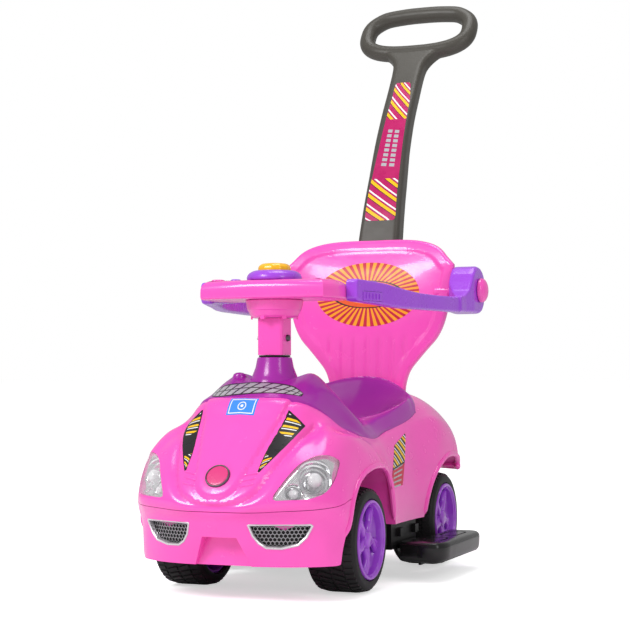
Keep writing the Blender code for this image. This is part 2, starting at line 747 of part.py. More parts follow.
# Saddle
purple = make_material("saddle_purple", PURPLE, 0.30)
saddle = closed_cap("seat_saddle", saddle_grid, SKIRT_Z)
inner_grid = offset_grid(drawn_surface(SADDLE_ROWS, 1, 1), -SHELL - 0.0006)
hollow = closed_cap("hollow", inner_grid, SKIRT_Z - 0.01)
meet(hollow, prism("inside", grow(footprint, -SHELL), "Z", SKIRT_Z - 0.02, 0.6))
cut(saddle, hollow)
cone_base_z = on_body(0, 0, 282).z
cone_top_z = cone_base_z + CONE_HEIGHT
cone_wall = SHELL
cone = turned("cone", [(CONE_BASE_RADIUS - cone_wall, cone_base_z - 0.010),
                       (CONE_BASE_RADIUS, cone_base_z - 0.010), (CONE_BASE_RADIUS, cone_base_z),
                       (CONE_TOP_RADIUS + 0.0035, cone_base_z + 0.016), (CONE_TOP_RADIUS, cone_top_z),
                       (CONE_TOP_RADIUS - cone_wall, cone_top_z)], 32, (0, COLUMN_Y, 0), ring=True)
join(saddle, cone)
cut(saddle, rod("bore", COLUMN_RADIUS + 0.0015, cone_base_z - 0.03, cone_base_z + 0.012,
                (0, COLUMN_Y, 0)))
tidy_mesh(saddle)
finish_mesh(saddle, purple)

# Lamps: a chromed bowl and a round bulb in each pocket, under a clear lens flush with the body
chrome = make_material("lamp_chrome", SILVER, 0.12, 0.9)
clear = make_material("clear_lens", (0.86, 0.88, 0.90), 0.05, 0.0, 0.45)
lens = lamp_prism("headlight_lens_left", -GAP, -LAMP_DEPTH + 0.004, 0.050)
meet(lens, body_cap("face", 0.0))
cut(lens, body_cap("face", LENS_WALL))
tidy_mesh(lens)
finish_mesh(lens, clear)
lamp_axis = Vector(LAMP_FACE).normalized()
lamp_right = Vector((0, 0, 1)) - lamp_axis * lamp_axis.z
lamp_right = lamp_right.normalized().cross(lamp_axis)
lamp_up = lamp_axis.cross(lamp_right)
bowl_centre = on_body(*LAMP_PLACE) + lamp_right * 0.006 - lamp_up * 0.001 - lamp_axis * 0.010
low_bowl_centre = on_body(*LAMP_PLACE) - lamp_right * 0.019 - lamp_up * 0.016 - lamp_axis * 0.010
reflector = lamp_prism("headlight_reflector_left", -GAP * 1.5, -LAMP_DEPTH + GAP, 0.050)
meet(reflector, body_cap("face", LENS_WALL + 0.003))
ball = [(0.0, -0.0165), (0.0095, -0.0140), (0.016, -0.004), (0.0175, 0.05), (0.0, 0.05)]


def aim(item, centre, direction):
    """Turns an item made along Z to a direction and moves it to a centre."""
    turn = Vector((0, 0, 1)).rotation_difference(Vector(direction)).to_matrix().to_4x4()
    item.data.transform(Matrix.Translation(centre) @ turn)
    return item


cut(reflector, aim(turned("bowl", ball, 14, (0, 0, 0)), bowl_centre, lamp_axis))
small = [(r * 0.6, h * 0.6 if h < 0.04 else h) for r, h in ball]
cut(reflector, aim(turned("bowl", small, 10, (0, 0, 0)), low_bowl_centre, lamp_axis))
tidy_mesh(reflector)
finish_mesh(reflector, chrome)
bulb_profile = [(0.0, -0.0158), (0.004, -0.0150), (0.0045, -0.009), (0.0072, -0.006), (0.0085, 0.000),
                (0.0068, 0.0052), (0.0, 0.0085)]
bulb_glass = make_material("bulb_glass", (0.92, 0.92, 0.90), 0.08)
bulb = aim(turned("headlight_bulb_left", bulb_profile, 12, (0, 0, 0)), bowl_centre, lamp_axis)
finish_mesh(bulb, bulb_glass)
mirror_copy(lens, "headlight_lens_right")
mirror_copy(reflector, "headlight_reflector_right")
mirror_copy(bulb, "headlight_bulb_right")

# Grilles: a raised frame around a lower mesh plate, one piece
silver = make_material("grille_silver", SILVER, 0.35, 0.7)
grille = grille_prism("grille_left", -GAP)
meet(grille, body_cap("face", 0.0008))
cut(grille, body_cap("face", GRILLE_DEPTH - 2 * GAP))
mesh_hole = cut(grille_prism("mesh_hole", -0.0042), body_cap("face", GRILLE_DEPTH - 2 * GAP - 0.0022))
cut(grille, mesh_hole)
tidy_mesh(grille)
finish_mesh(grille, silver)
mirror_copy(grille, "grille_right")

# Round emblem without lettering
magenta = make_material("emblem_magenta", DEEP_PINK, 0.3)
emblem = poke("emblem_disc", emblem_rim, emblem_spot, emblem_tilt, -EMBLEM_SINK + GAP, EMBLEM_HEIGHT)
finish_mesh(emblem, magenta)

# Black underbody
black = make_material("chassis_black", BLACK, 0.45)
sill_in = HALF_WIDTH - CHASSIS_INSET
deck_z = SILL_Z - GAP
waist_front = 0.116
waist_rear = WHEELBASE - 0.109
chassis = block("chassis", (-sill_in, waist_front, CHASSIS_BOTTOM_Z), (sill_in, waist_rear, deck_z), black)
spine_x = KINGPIN_X - 0.016
web_x = KINGPIN_X - 0.014
join(chassis, block("spine", (-spine_x, -0.138, CHASSIS_BOTTOM_Z + 0.006), (spine_x, waist_front + 0.01, 0.072)))
join(chassis, block("rear", (-0.060, waist_rear - 0.01, CHASSIS_BOTTOM_Z + 0.002),
                    (0.060, WHEELBASE + 0.058, SILL_Z + 0.010)))
tray = block("tray", (-0.078, waist_front + 0.004, CHASSIS_BOTTOM_Z + 0.004),
             (0.078, waist_rear - 0.014, 0.2))
cut(chassis, tray)
cut(chassis, block("front_tray", (0.006 - spine_x, -0.132, CHASSIS_BOTTOM_Z + 0.010),
                   (spine_x - 0.006, -0.014, 0.2)))
cut(chassis, block("front_tray", (0.006 - spine_x, 0.034, CHASSIS_BOTTOM_Z + 0.010),
                   (spine_x - 0.006, waist_front - 0.004, 0.2)))
lug_top = CRANK_Z + 0.0195
join(chassis, block("web", (-web_x, -0.008, 0.060), (web_x, 0.008, lug_top)))
bar = [(-KINGPIN_X, -0.008), (KINGPIN_X, -0.008), (KINGPIN_X + 0.006, -0.005), (KINGPIN_X + 0.008, 0),
       (KINGPIN_X + 0.006, 0.005), (KINGPIN_X, 0.008), (-KINGPIN_X, 0.008), (-KINGPIN_X - 0.006, 0.005),
       (-KINGPIN_X - 0.008, 0), (-KINGPIN_X - 0.006, -0.005)]
lug_low = CHASSIS_BOTTOM_Z + 0.007
join(chassis, prism("low_lugs", bar, "Z", CHASSIS_BOTTOM_Z + 0.001, lug_low))
join(chassis, prism("high_lugs", bar, "Z", lug_top - 0.006, lug_top))
bearing = AXLE_RADIUS + BORE_CLEARANCE
spacer = TRACK_HALF - TYRE_WIDTH / 2 + 0.0002
join(chassis, rod("spacer", 0.009, -spacer, spacer, (0, WHEELBASE, TYRE_RADIUS), "X"))
cut(chassis, rod("axle_hole", bearing, -0.2, 0.2, (0, WHEELBASE, TYRE_RADIUS), "X"))
for sign in (-1, 1):
    cut(chassis, rod("kingpin_hole", KINGPIN_RADIUS + BORE_CLEARANCE, 0.03, 0.12, (sign * KINGPIN_X, 0, 0)))
cut(chassis, rod("column_hole", COLUMN_RADIUS + BORE_CLEARANCE, 0.058, 0.12, (0, COLUMN_Y, 0)))

# Footrests plug into slots of the underbody
rest_inner = HALF_WIDTH + 0.0015
rest_root = HALF_WIDTH - 0.0135
rest_front = FOOTREST_FRONT_Y
rest_rear = rest_front + FOOTREST_LENGTH
rest_outer = HALF_WIDTH + FOOTREST_WIDTH
prongs = (rest_front + 0.012, rest_front + 0.078)
prong_low = 0.0605
prong_high = 0.0720
prong_width = 0.015
for low in prongs:
    for sign in (-1, 1):
        slot = sorted((sign * 0.070, sign * 0.2))
        cut(chassis, block("slot", (slot[0], low - GAP, prong_low - GAP),
                           (slot[1], low + prong_width + GAP, prong_high + GAP)))
finish_mesh(chassis, black)
pad = [(rest_root, rest_front + 0.006), (rest_root + 0.006, rest_front), (rest_outer - 0.019, rest_front),
       (rest_outer - 0.008, rest_front + 0.005), (rest_outer - 0.0025, rest_front + 0.016),
       (rest_outer, rest_front + 0.032), (rest_outer, rest_rear - 0.032),
       (rest_outer - 0.0025, rest_rear - 0.016), (rest_outer - 0.009, rest_rear - 0.005),
       (rest_outer - 0.020, rest_rear), (rest_inner + 0.006, rest_rear), (rest_inner, rest_rear - 0.006),
       (rest_inner, rest_front + 0.118), (rest_root, rest_front + 0.108)]
rest_black = make_material("footrest_black", BLACK, 0.30)
sections = []
rest_levels = ((FOOTREST_BOTTOM_Z, 0.007), (FOOTREST_BOTTOM_Z + 0.008, 0.001),
               (FOOTREST_TOP_Z - 0.006, 0.0), (FOOTREST_TOP_Z - 0.0015, 0.0014), (FOOTREST_TOP_Z, 0.0045))
for z, shrink in rest_levels:
    sections.append([(x, y, z) for x, y in grow(pad, -shrink)])
footrest = loft("footrest_left", sections, rest_black)
cut(footrest, prism("under", grow(pad, -0.0095), "Z", 0.0, FOOTREST_TOP_Z - 0.004))
apron = [(rest_root + 0.0006, FOOTREST_TOP_Z - 0.012), (rest_root + 0.024, FOOTREST_TOP_Z - 0.006),
         (rest_root + 0.022, FOOTREST_TOP_Z + 0.001), (rest_root + 0.008, SILL_Z - 0.006),
         (rest_root + 0.005, SILL_Z - 0.003), (rest_root + 0.0006, SILL_Z - 0.003)]
join(footrest, prism("apron", apron[::-1], "Y", rest_front + 0.0047, rest_front + 0.1043))
join(footrest, block("keel", (rest_inner + 0.012, rest_front + 0.016, FOOTREST_BOTTOM_Z - 0.005),
                     (rest_inner + 0.016, rest_rear - 0.020, FOOTREST_TOP_Z - 0.002)))
for low in prongs:
    join(footrest, block("prong", (0.094, low, prong_low),
                         (rest_root + 0.003, low + prong_width, prong_high)))
finish_mesh(footrest, rest_black)
mirror_copy(footrest, "footrest_right")

# Wheels, made on the left side and mirrored
tyre_black = make_material("tyre_black", BLACK, 0.6)
rim_purple = make_material("rim_purple", VIOLET, 0.25)
half = TYRE_WIDTH / 2
steel = make_material("steel", (0.60, 0.60, 0.62), 0.3, 1.0)


def make_tyre(name, x, y):
    shoulders = [(RIM_RADIUS, -half + 0.003), (TYRE_RADIUS - 0.011, -half + 0.001),
                 (TYRE_RADIUS - 0.0035, -half + 0.007), (TYRE_RADIUS, -half + 0.017),
                 (TYRE_RADIUS, half - 0.017), (TYRE_RADIUS - 0.0035, half - 0.007),
                 (TYRE_RADIUS - 0.011, half - 0.001), (RIM_RADIUS, half - 0.003)]
    tyre = turned(name, shoulders, TYRE_SEGMENTS, (x, y, TYRE_RADIUS), "X", tyre_black, ring=True)
    lugs = (2, 5)
    for row in lugs:
        for k in range(1, TYRE_SEGMENTS, 2):
            vertex = tyre.data.vertices[row * TYRE_SEGMENTS + k]
            spoke = Vector((0, vertex.co.y - y, vertex.co.z - TYRE_RADIUS))
            vertex.co -= spoke.normalized() * LUG_DEPTH
    finish_mesh(tyre, tyre_black, 20)
    return tyre


def make_rim(name, x, y):
    outer = RIM_RADIUS - GAP
    inner = outer - RIM_WALL
    barrel = [(outer, -half + 0.006), (outer, half + 0.0005), (outer - 0.0035, half + 0.0008),
              (inner, half - 0.004), (inner, -half + 0.006)]
    rim = turned(name, barrel, RIM_SEGMENTS, (x, y, TYRE_RADIUS), "X", rim_purple, ring=True)
    bore = AXLE_RADIUS + BORE_CLEARANCE
    hub = [(bore, -half + 0.0007), (HUB_RADIUS, -half + 0.0007), (HUB_RADIUS + 0.001, half - 0.010),
           (HUB_RADIUS - 0.002, half - 0.005), (NUT_RADIUS + 0.001, half - 0.005),
           (NUT_RADIUS + 0.001, half - 0.0115), (bore, half - 0.0115)]
    join(rim, turned("hub", hub, 12, (x, y, TYRE_RADIUS), "X", ring=True))
    start = math.radians(90 + 36)
    for k in range(SPOKES):
        angle = start + 2 * math.pi * k / SPOKES
        rows = []
        for reach, wide, low, high, turn in ((HUB_RADIUS - 0.0015, 0.0050, 0.016, 0.0270, 0.0),
                                             ((HUB_RADIUS + outer) / 2, 0.0062, 0.015, 0.0250, 0.003),
                                             (outer - 0.0016, 0.0105, 0.017, 0.0290, 0.007)):
            row = []
            for aside, out in ((-wide, low), (wide, low), (wide * 0.7, high), (-wide * 0.7, high)):
                place = angle + (turn + aside) / reach
                row.append((x + out, y + reach * math.cos(place), TYRE_RADIUS + reach * math.sin(place)))
            rows.append(row)
        join(rim, loft("spoke", rows))
    tidy_mesh(rim)
    finish_mesh(rim, rim_purple)
    return rim


front_tyre = make_tyre("tyre_front_left", TRACK_HALF, 0.0)
front_rim = make_rim("rim_front_left", TRACK_HALF, 0.0)
rear_tyre = copy_of(front_tyre, "tyre_rear_left")
rear_tyre.data.transform(Matrix.Translation((0, WHEELBASE, 0)))
rear_rim = copy_of(front_rim, "rim_rear_left")
rear_rim.data.transform(Matrix.Translation((0, WHEELBASE, 0)))
for item in (front_tyre, front_rim, rear_tyre, rear_rim):
    mirror_copy(item, item.name.replace("left", "right"))

axle_tip = TRACK_HALF + half - 0.006
rod("rear_axle", AXLE_RADIUS, -axle_tip, axle_tip, (0, WHEELBASE, TYRE_RADIUS), "X", 16, steel)
nut_low = TRACK_HALF + half - 0.0115 + GAP
nut_high = nut_low + NUT_LENGTH
nut_profile = [(bearing, nut_low), (NUT_RADIUS, nut_low), (NUT_RADIUS, nut_high), (bearing, nut_high)]
for name, y in (("axle_nut_front_left", 0.0), ("axle_nut_rear_left", WHEELBASE)):
    nut = turned(name, nut_profile, 10, (0, y, TYRE_RADIUS), "X", steel, ring=True)
    mirror_copy(nut, name.replace("left", "right"))

# Front knuckles on their kingpins, the tie rod and the steering column with its crank
knuckle_low = lug_low + GAP
knuckle_high = lug_top - 0.006 - GAP
knuckle_steel = make_material("knuckle_steel", (0.10, 0.10, 0.11), 0.4, 0.6)
knuckle = turned("knuckle_left", [(KINGPIN_RADIUS + BORE_CLEARANCE, knuckle_low), (0.008, knuckle_low),
                                  (0.008, knuckle_high), (KINGPIN_RADIUS + BORE_CLEARANCE, knuckle_high)],
                 12, (KINGPIN_X, 0, 0), ring=True)
stub = rod("stub", AXLE_RADIUS, KINGPIN_X + 0.006, axle_tip, (0, 0, TYRE_RADIUS), "X", 12)
collar = rod("collar", 0.0065, KINGPIN_X + 0.006, spacer, (0, 0, TYRE_RADIUS), "X", 12)
join(stub, collar)
join(knuckle, stub)


def arm_plate(name, x, y, low):
    """A crank plate that points rearwards, with the pin for the tie rod at its end."""
    outline = [(x - 0.0055, y), (x + 0.0055, y), (x + 0.004, y + STEER_ARM),
               (x + 0.0028, y + STEER_ARM + 0.003),
               (x, y + STEER_ARM + 0.0042), (x - 0.0028, y + STEER_ARM + 0.003), (x - 0.004, y + STEER_ARM)]
    plate = prism(name, outline, "Z", low, low + PLATE)
    return join(plate, rod("pin", 0.0022, low + PLATE / 2, low + PLATE + 0.0075, (x, y + STEER_ARM, 0),
                           segments=8))


plate_hole = rod("plate_hole", KINGPIN_RADIUS + BORE_CLEARANCE, CRANK_Z - 0.01, CRANK_Z + 0.01,
                 (KINGPIN_X, 0, 0))
join(knuckle, cut(arm_plate("plate", KINGPIN_X, 0.0, CRANK_Z), plate_hole))
finish_mesh(knuckle, knuckle_steel)
mirror_copy(knuckle, "knuckle_right")
for sign, name in ((1, "kingpin_left"), (-1, "kingpin_right")):
    profile = [(0, CHASSIS_BOTTOM_Z - 0.001), (KINGPIN_RADIUS, CHASSIS_BOTTOM_Z - 0.001),
               (KINGPIN_RADIUS, lug_top + GAP), (KINGPIN_RADIUS + 0.0025, lug_top + GAP),
               (KINGPIN_RADIUS + 0.002, lug_top + 0.003), (0, lug_top + 0.003)]
    turned(name, profile, 10, (sign * KINGPIN_X, 0, 0), material=steel)

tie_low = CRANK_Z + PLATE + 0.0003
tie_high = tie_low + 0.004
centre_y = COLUMN_Y + STEER_ARM
side_y = STEER_ARM
bar_half = 0.0048
tie_outline = [(-KINGPIN_X, side_y - bar_half), (-0.018, centre_y - bar_half), (0.018, centre_y - bar_half),
               (KINGPIN_X, side_y - bar_half), (KINGPIN_X, side_y + bar_half), (0.020, centre_y + bar_half),
               (-0.020, centre_y + bar_half), (-KINGPIN_X, side_y + bar_half)]
tie_rod = prism("tie_rod", tie_outline, "Z", tie_low, tie_high)
eyes = ((-KINGPIN_X, side_y), (0.0, centre_y), (KINGPIN_X, side_y))
for x, y in eyes:
    join(tie_rod, prism("eye", circle(0.0078, 12, (x, y)), "Z", tie_low, tie_high))
for x, y in eyes:
    cut(tie_rod, rod("eye_hole", 0.0022 + TIE_PLAY, tie_low - 0.01, tie_high + 0.01, (x, y, 0), segments=10))
finish_mesh(tie_rod, steel)

# Steering: bush, column, sleeve, hub, console, dome and buttons
bush_black = make_material("bush_black", BLACK, 0.5)
bore = COLUMN_RADIUS + BORE_CLEARANCE
plug = CONE_TOP_RADIUS - cone_wall - GAP
flange_low = cone_top_z + GAP
flange_radius = CONE_TOP_RADIUS - 0.0015
flange_high = flange_low + BUSH_FLANGE
bush_profile = [(bore, cone_top_z - 0.010), (plug, cone_top_z - 0.010), (plug, flange_low),
                (flange_radius, flange_low), (flange_radius, flange_high), (bore, flange_high)]
turned("steering_bush", bush_profile, 20, (0, COLUMN_Y, 0), material=bush_black, ring=True)
sleeve_low = flange_high + GAP
hub_low = sleeve_low + SLEEVE_HEIGHT
console_low = hub_low + HUB_HEIGHT + GAP
console_top = console_low + CONSOLE_HEIGHT
column_top = console_low - 0.003
column = rod("steering_column", COLUMN_RADIUS, 0.0595, column_top, (0, COLUMN_Y, 0), segments=20)
join(column, arm_plate("crank", 0.0, COLUMN_Y, CRANK_Z))
bolt_z = sleeve_low + SLEEVE_HEIGHT * 0.46
cross = rod("cross", BOLT_RADIUS + BORE_CLEARANCE, -0.05, 0.05, (0, COLUMN_Y, bolt_z), "X", 12)
cut(column, cross, keep=True)
finish_mesh(column, steel)
sleeve_outline = rounded_rectangle(SLEEVE_HALF, SLEEVE_HALF, 0.005, 3, (0, COLUMN_Y))
sleeve = prism("column_sleeve", sleeve_outline, "Z", sleeve_low, hub_low - GAP)
cut(sleeve, rod("bore", bore, 0.2, 0.5, (0, COLUMN_Y, 0), segments=20))
cut(sleeve, cross)
finish_mesh(sleeve, pink)
bolt_tip = -SLEEVE_HALF - 0.0065
bolt_seat = SLEEVE_HALF + GAP
bolt_profile = [(0, bolt_tip), (BOLT_RADIUS, bolt_tip), (BOLT_RADIUS, bolt_seat), (0.0048, bolt_seat),
                (0.0042, bolt_seat + 0.0032), (0, bolt_seat + 0.0036)]
turned("column_bolt", bolt_profile, 12, (0, COLUMN_Y, bolt_z), "X", steel)
nut_bore = BOLT_RADIUS + BORE_CLEARANCE
nut_seat = -SLEEVE_HALF - GAP
nut_end = nut_seat - 0.004
bolt_nut = [(nut_bore, nut_end), (0.0050, nut_end), (0.0050, nut_seat), (nut_bore, nut_seat)]
turned("column_nut", bolt_nut, 6, (0, COLUMN_Y, bolt_z), "X", steel, ring=True)
hub_high = hub_low + HUB_HEIGHT
hub_floor = hub_low + 0.0035
hub_waist = hub_low + 0.010
hub_profile = [(bore, hub_low), (HUB_BOTTOM_RADIUS - 0.003, hub_low), (HUB_BOTTOM_RADIUS, hub_low + 0.003),
               (HUB_BOTTOM_RADIUS + 0.003, hub_waist), (HUB_TOP_RADIUS, hub_high),
               (HUB_TOP_RADIUS - 0.003, hub_high), (HUB_BOTTOM_RADIUS, hub_waist),
               (HUB_BOTTOM_RADIUS - 0.004, hub_floor), (0.011, hub_floor), (0.011, hub_high),
               (bore, hub_high)]
turned("steering_hub", hub_profile, 24, (0, COLUMN_Y, 0), material=pink, ring=True)


def console_outline(shrink):
    """The steering console from above: a disc with flattened front and rear."""
    radius = CONSOLE_RADIUS
    front = math.asin(CONSOLE_FRONT / radius)
    rear = math.asin(CONSOLE_REAR / radius)
    points = []
    steps = 7
    for k in range(steps + 1):
        angle = -front + (front + rear) * k / steps
        points.append((radius * math.cos(angle), radius * math.sin(angle)))
    reach = radius * math.cos(rear)
    points += [(reach * t, CONSOLE_REAR + 0.004 * (1 - t * t)) for t in (0.85, 0.4, -0.4, -0.85)]
    for k in range(steps + 1):
        angle = math.pi - rear + (front + rear) * k / steps
        points.append((radius * math.cos(angle), radius * math.sin(angle)))
    reach = radius * math.cos(front)
    points += [(reach * t, -CONSOLE_FRONT - 0.006 * (1 - t * t)) for t in (-0.85, -0.4, 0.4, 0.85)]
    return [(x, y + COLUMN_Y) for x, y in grow(points, -shrink)]


def console_ring(shrink, z, dip=0.0):
    """A section of the console; its ends dip by the given amount."""
    return [(x, y, z - dip * (x / CONSOLE_RADIUS) ** 2) for x, y in console_outline(shrink)]


rings = [console_ring(0.0020, console_low), console_ring(0.0, console_low + 0.004),
         console_ring(0.0, console_top - 0.009, 0.003), console_ring(0.0025, console_top - 0.003, 0.003),
         console_ring(0.0095, console_top)]
console = loft("steering_console", rings)
base_plate = 0.0026
cavity = loft("cavity", [console_ring(CONSOLE_WALL + 0.002, console_low - 0.01),
                         console_ring(CONSOLE_WALL + 0.002, console_top - CONSOLE_WALL - 0.003)])
cut(console, cavity)
tune_spots = ((TUNE_PINK_X, TUNE_PINK_RADIUS), (TUNE_PURPLE_X, TUNE_PURPLE_RADIUS))
tune_y = COLUMN_Y - 0.012
for x, radius in tune_spots:
    cut(console, rod("tune_hole", radius + GAP, console_top - 0.02, console_top + 0.02, (x, tune_y, 0)))
finish_mesh(console, pink)
prism("console_base", console_outline(CONSOLE_WALL + 0.002 + GAP), "Z", console_low,
      console_low + base_plate, pink)
dome_low = console_top + GAP
dome_floor = 0.003
horn_bore = HORN_RADIUS + GAP
dome_purple = make_material("dome_purple", VIOLET, 0.22)
dome_profile = [(0, 0), (DOME_RADIUS, 0), (DOME_RADIUS + 0.0004, 0.004), (DOME_RADIUS - 0.002, 0.009),
                (DOME_RADIUS - 0.007, 0.0125), (horn_bore + 0.002, DOME_HEIGHT), (horn_bore, DOME_HEIGHT),
                (horn_bore, dome_floor), (0, dome_floor)]
turned("music_dome", dome_profile, 28, (0, COLUMN_Y, dome_low), material=dome_purple)
horn_low = dome_low + dome_floor + HORN_TRAVEL + GAP
horn_tall = dome_low + DOME_HEIGHT + HORN_PROUD - horn_low
yellow = make_material("horn_yellow", YELLOW, 0.3)
horn_profile = [(0, 0), (HORN_RADIUS, 0), (HORN_RADIUS, horn_tall - 0.006),
                (HORN_RADIUS - 0.0015, horn_tall - 0.0025), (HORN_RADIUS - 0.006, horn_tall - 0.0004),
                (0, horn_tall)]
turned("horn_button", horn_profile, 28, (0, COLUMN_Y, horn_low), material=yellow)
tune_names = ("tune_button_pink", "tune_button_purple")
tune_low = console_top - 0.0060
tune_top = console_top + TUNE_PROUD
for (x, radius), name, material in zip(tune_spots, tune_names, (pink, dome_purple)):
    tune_profile = [(0, tune_low), (radius, tune_low), (radius, tune_top - 0.0012),
                    (radius - 0.0015, tune_top), (0, tune_top)]
    turned(name, tune_profile, 14, (x, tune_y, 0), material=material)
floor_z = console_low + base_plate + GAP
board_green = make_material("board_green", (0.02, 0.16, 0.06), 0.5)
block("sound_board", (-0.076, COLUMN_Y - 0.030, floor_z), (-0.030, COLUMN_Y + 0.014, floor_z + 0.0016),
      board_green)
speaker_black = make_material("speaker_black", BLACK, 0.5)
speaker_profile = [(0, 0), (0.020, 0), (0.020, 0.003), (0.012, 0.009), (0, 0.009)]
turned("speaker", speaker_profile, 20, (0, COLUMN_Y, floor_z), material=speaker_black)
box_black = make_material("box_black", BLACK, 0.55)
block("battery_box", (0.030, COLUMN_Y - 0.028, floor_z), (0.084, COLUMN_Y + 0.028, floor_z + 0.0150),
      box_black)

# Guard arms: a collar that hugs the console's round end, a rail and an ear on the backrest's pivot
arm_purple = make_material("arm_purple", VIOLET, 0.28)
pivot_y = back_y + 0.006
pivot_z = console_top + PIVOT_ABOVE
collar_x = CONSOLE_RADIUS + 0.0075
arm_top = console_top + 0.0012
arm_bottom = console_low - 0.0025
rail = [(0.010, -0.001, -0.003, 0.004), (0.014, 0.0, 0.0, 0.0), (0.022, 0.0015, 0.0, -0.001),
        (0.076, 0.0155, -0.003, -0.004), (0.102, 0.0225, -0.006, -0.006),
        (0.138, 0.0305, -0.010, -0.007), (0.183, 0.0385, -0.013, -0.007),
        (0.248, 0.0500, -0.014, -0.007), (0.313, 0.0580, -0.014, -0.007),
        (0.360, 0.0615, -0.010, -0.006)]
stretch = (pivot_y - COLUMN_Y) / 0.385
sections = []
for dy, dx, top, bottom in rail:
    x = collar_x + dx
    y = COLUMN_Y + (0.076 + (dy - 0.076) * stretch if dy > 0.076 else dy)
    high = arm_top + top
    low = arm_bottom + bottom
    c = 0.003
    sections.append([(x - ARM_HALF + c, y, low), (x + ARM_HALF - c, y, low), (x + ARM_HALF, y, low + c),
                     (x + ARM_HALF, y, high - c), (x + ARM_HALF - c, y, high), (x - ARM_HALF + c, y, high),
                     (x - ARM_HALF, y, high - c), (x - ARM_HALF, y, low + c)])
arm = loft("guard_arm_left", sections)
web = [(collar_x - 0.006, COLUMN_Y + 0.0105), (collar_x, COLUMN_Y + 0.0105),
       (collar_x + 0.014, COLUMN_Y + 0.072),
       (collar_x + 0.010, COLUMN_Y + 0.084), (CONSOLE_RADIUS * 0.86, COLUMN_Y + 0.068),
       (CONSOLE_RADIUS * 0.80, COLUMN_Y + 0.061), (CONSOLE_RADIUS * 0.82, COLUMN_Y + 0.040)]
join(arm, prism("collar", web, "Z", arm_bottom + 0.0022, arm_top - 0.0008))
ear = [(-84, -35), (-52, -34.5), (-20, -36.5), (-6, -37), (6, -36), (18, -32), (27, -24), (33, -12),
       (35, 0), (34, 12), (29, 23), (20, 31), (8, 36), (-8, 37.5), (-20, 34), (-30, 25), (-38, 12),
       (-48, -4), (-64, -12), (-84, -14)]
ear = counterclockwise([(pivot_y + a * MM, pivot_z + b * MM) for a, b in ear])
ear_rings = []
ear_steps = ((EAR_INNER_X, 0.002), (EAR_INNER_X + 0.002, 0.0), (EAR_OUTER_X - 0.003, 0.0),
             (EAR_OUTER_X, 0.003))
for x, shrink in ear_steps:
    ear_rings.append([(x, a, b) for a, b in grow(ear, -shrink)])
ear_body = loft("ear", ear_rings)
haunch = [(-0.1, -0.1), (EAR_INNER_X - 0.03, pivot_y - 0.2), (collar_x + 0.0520, pivot_y - 0.090),
          (collar_x + 0.0525, pivot_y - 0.062), (EAR_INNER_X - 0.001, pivot_y - 0.034)]
cut(ear_body, prism("haunch", haunch, "Z", 0.2, 0.6))
join(arm, ear_body)
cut(arm, rod("console_space", CONSOLE_RADIUS + COLLAR_GAP, 0.2, 0.6, (0, COLUMN_Y, 0), segments=96))
cut(arm, rod("pin_hole", PIN_RADIUS + BORE_CLEARANCE, 0.1, 0.3, (0, pivot_y, pivot_z), "X", 20))
latch_low = arm_bottom - 0.002 + 0.0030
latch_high = latch_low + 0.0125
lean = Vector((0.014, 0.054)).normalized()
square = Vector((lean.y, -lean.x))
face_start = Vector((collar_x + 0.0015 + ARM_HALF, COLUMN_Y + 0.022))


def on_arm(along, out):
    """A place in plan, measured along the arm's flat face and out from it."""
    return tuple(face_start + lean * along + square * out)


def arm_block(name, start, end, inner, outer, low, high, material=None):
    outline = [on_arm(start, inner), on_arm(start, outer), on_arm(end, outer), on_arm(end, inner)]
    return prism(name, outline, "Z", low, high, material)


latch_depth = 0.0085
cut(arm, arm_block("latch_slot", 0.003 - GAP, 0.049 + GAP, -latch_depth, 0.02, latch_low - GAP,
                   latch_high + GAP))
tidy_mesh(arm)
finish_mesh(arm, arm_purple)
latch_in = GAP + LATCH_TRAVEL - latch_depth
latch = arm_block("guard_latch_left", 0.003, 0.049, latch_in, 0.0012, latch_low, latch_high, arm_purple)
for k in range(4):
    place = 0.011 + k * 0.010
    join(latch, arm_block("rib", place - 0.0012, place + 0.0012, 0.0006, 0.0024, latch_low + 0.002,
                          latch_high - 0.002))
finish_mesh(latch, arm_purple)
knob_x = EAR_OUTER_X + GAP
knob_profile = [(0, knob_x + 0.0045), (0.0092, knob_x + 0.0045), (0.0092, knob_x),
                (KNOB_RADIUS - 0.0008, knob_x), (KNOB_RADIUS, knob_x + 0.002),
                (KNOB_RADIUS - 0.0022, knob_x + 0.0075), (KNOB_RADIUS - 0.0085, knob_x + 0.0115),
                (0, knob_x + KNOB_HEIGHT)]
knob = turned("guard_knob_left", knob_profile, 20, (0, pivot_y, pivot_z), "X", pink)
pin_in = EAR_INNER_X - 0.022
pin_profile = [(0, pin_in), (PIN_RADIUS, pin_in), (PIN_RADIUS, knob_x), (0.008, knob_x),
               (0.0074, knob_x + 0.0034), (0, knob_x + 0.0034)]
pin = turned("guard_pin_left", pin_profile, 12, (0, pivot_y, pivot_z), "X", steel)
for item in (arm, latch, knob, pin):
    mirror_copy(item, item.name.replace("left", "right"))

# Backrest: a curved plate whose neck stands in the body, with pivot bosses and the handle's socket
LOW_EDGE = [(0, 236), (61, 236), (62, 250), (63.5, 270), (67, 284), (73, 297), (86, 313), (100, 329),
            (115, 346), (126, 368), (134, 398), (139, 425), (143, 450)]
HIGH_EDGE = [(0, 505), (40, 505), (72, 503), (96, 498), (112, 491), (122, 483), (130, 474), (137, 467),
             (143, 461)]
CENTRE_LINE = [(236, -5), (290, -5), (345, -4), (380, -2), (416, 1), (450, 8), (470, 15), (490, 23),
               (508, 30)]
SIDE_LINE = [(236, -5), (300, -1), (345, 0), (450, 1), (470, 3), (490, 9), (508, 18)]
STATIONS = [0, 32, 61, 63.5, 72, 88, 106, 122, 134, 143]
BACK_ROWS = 6


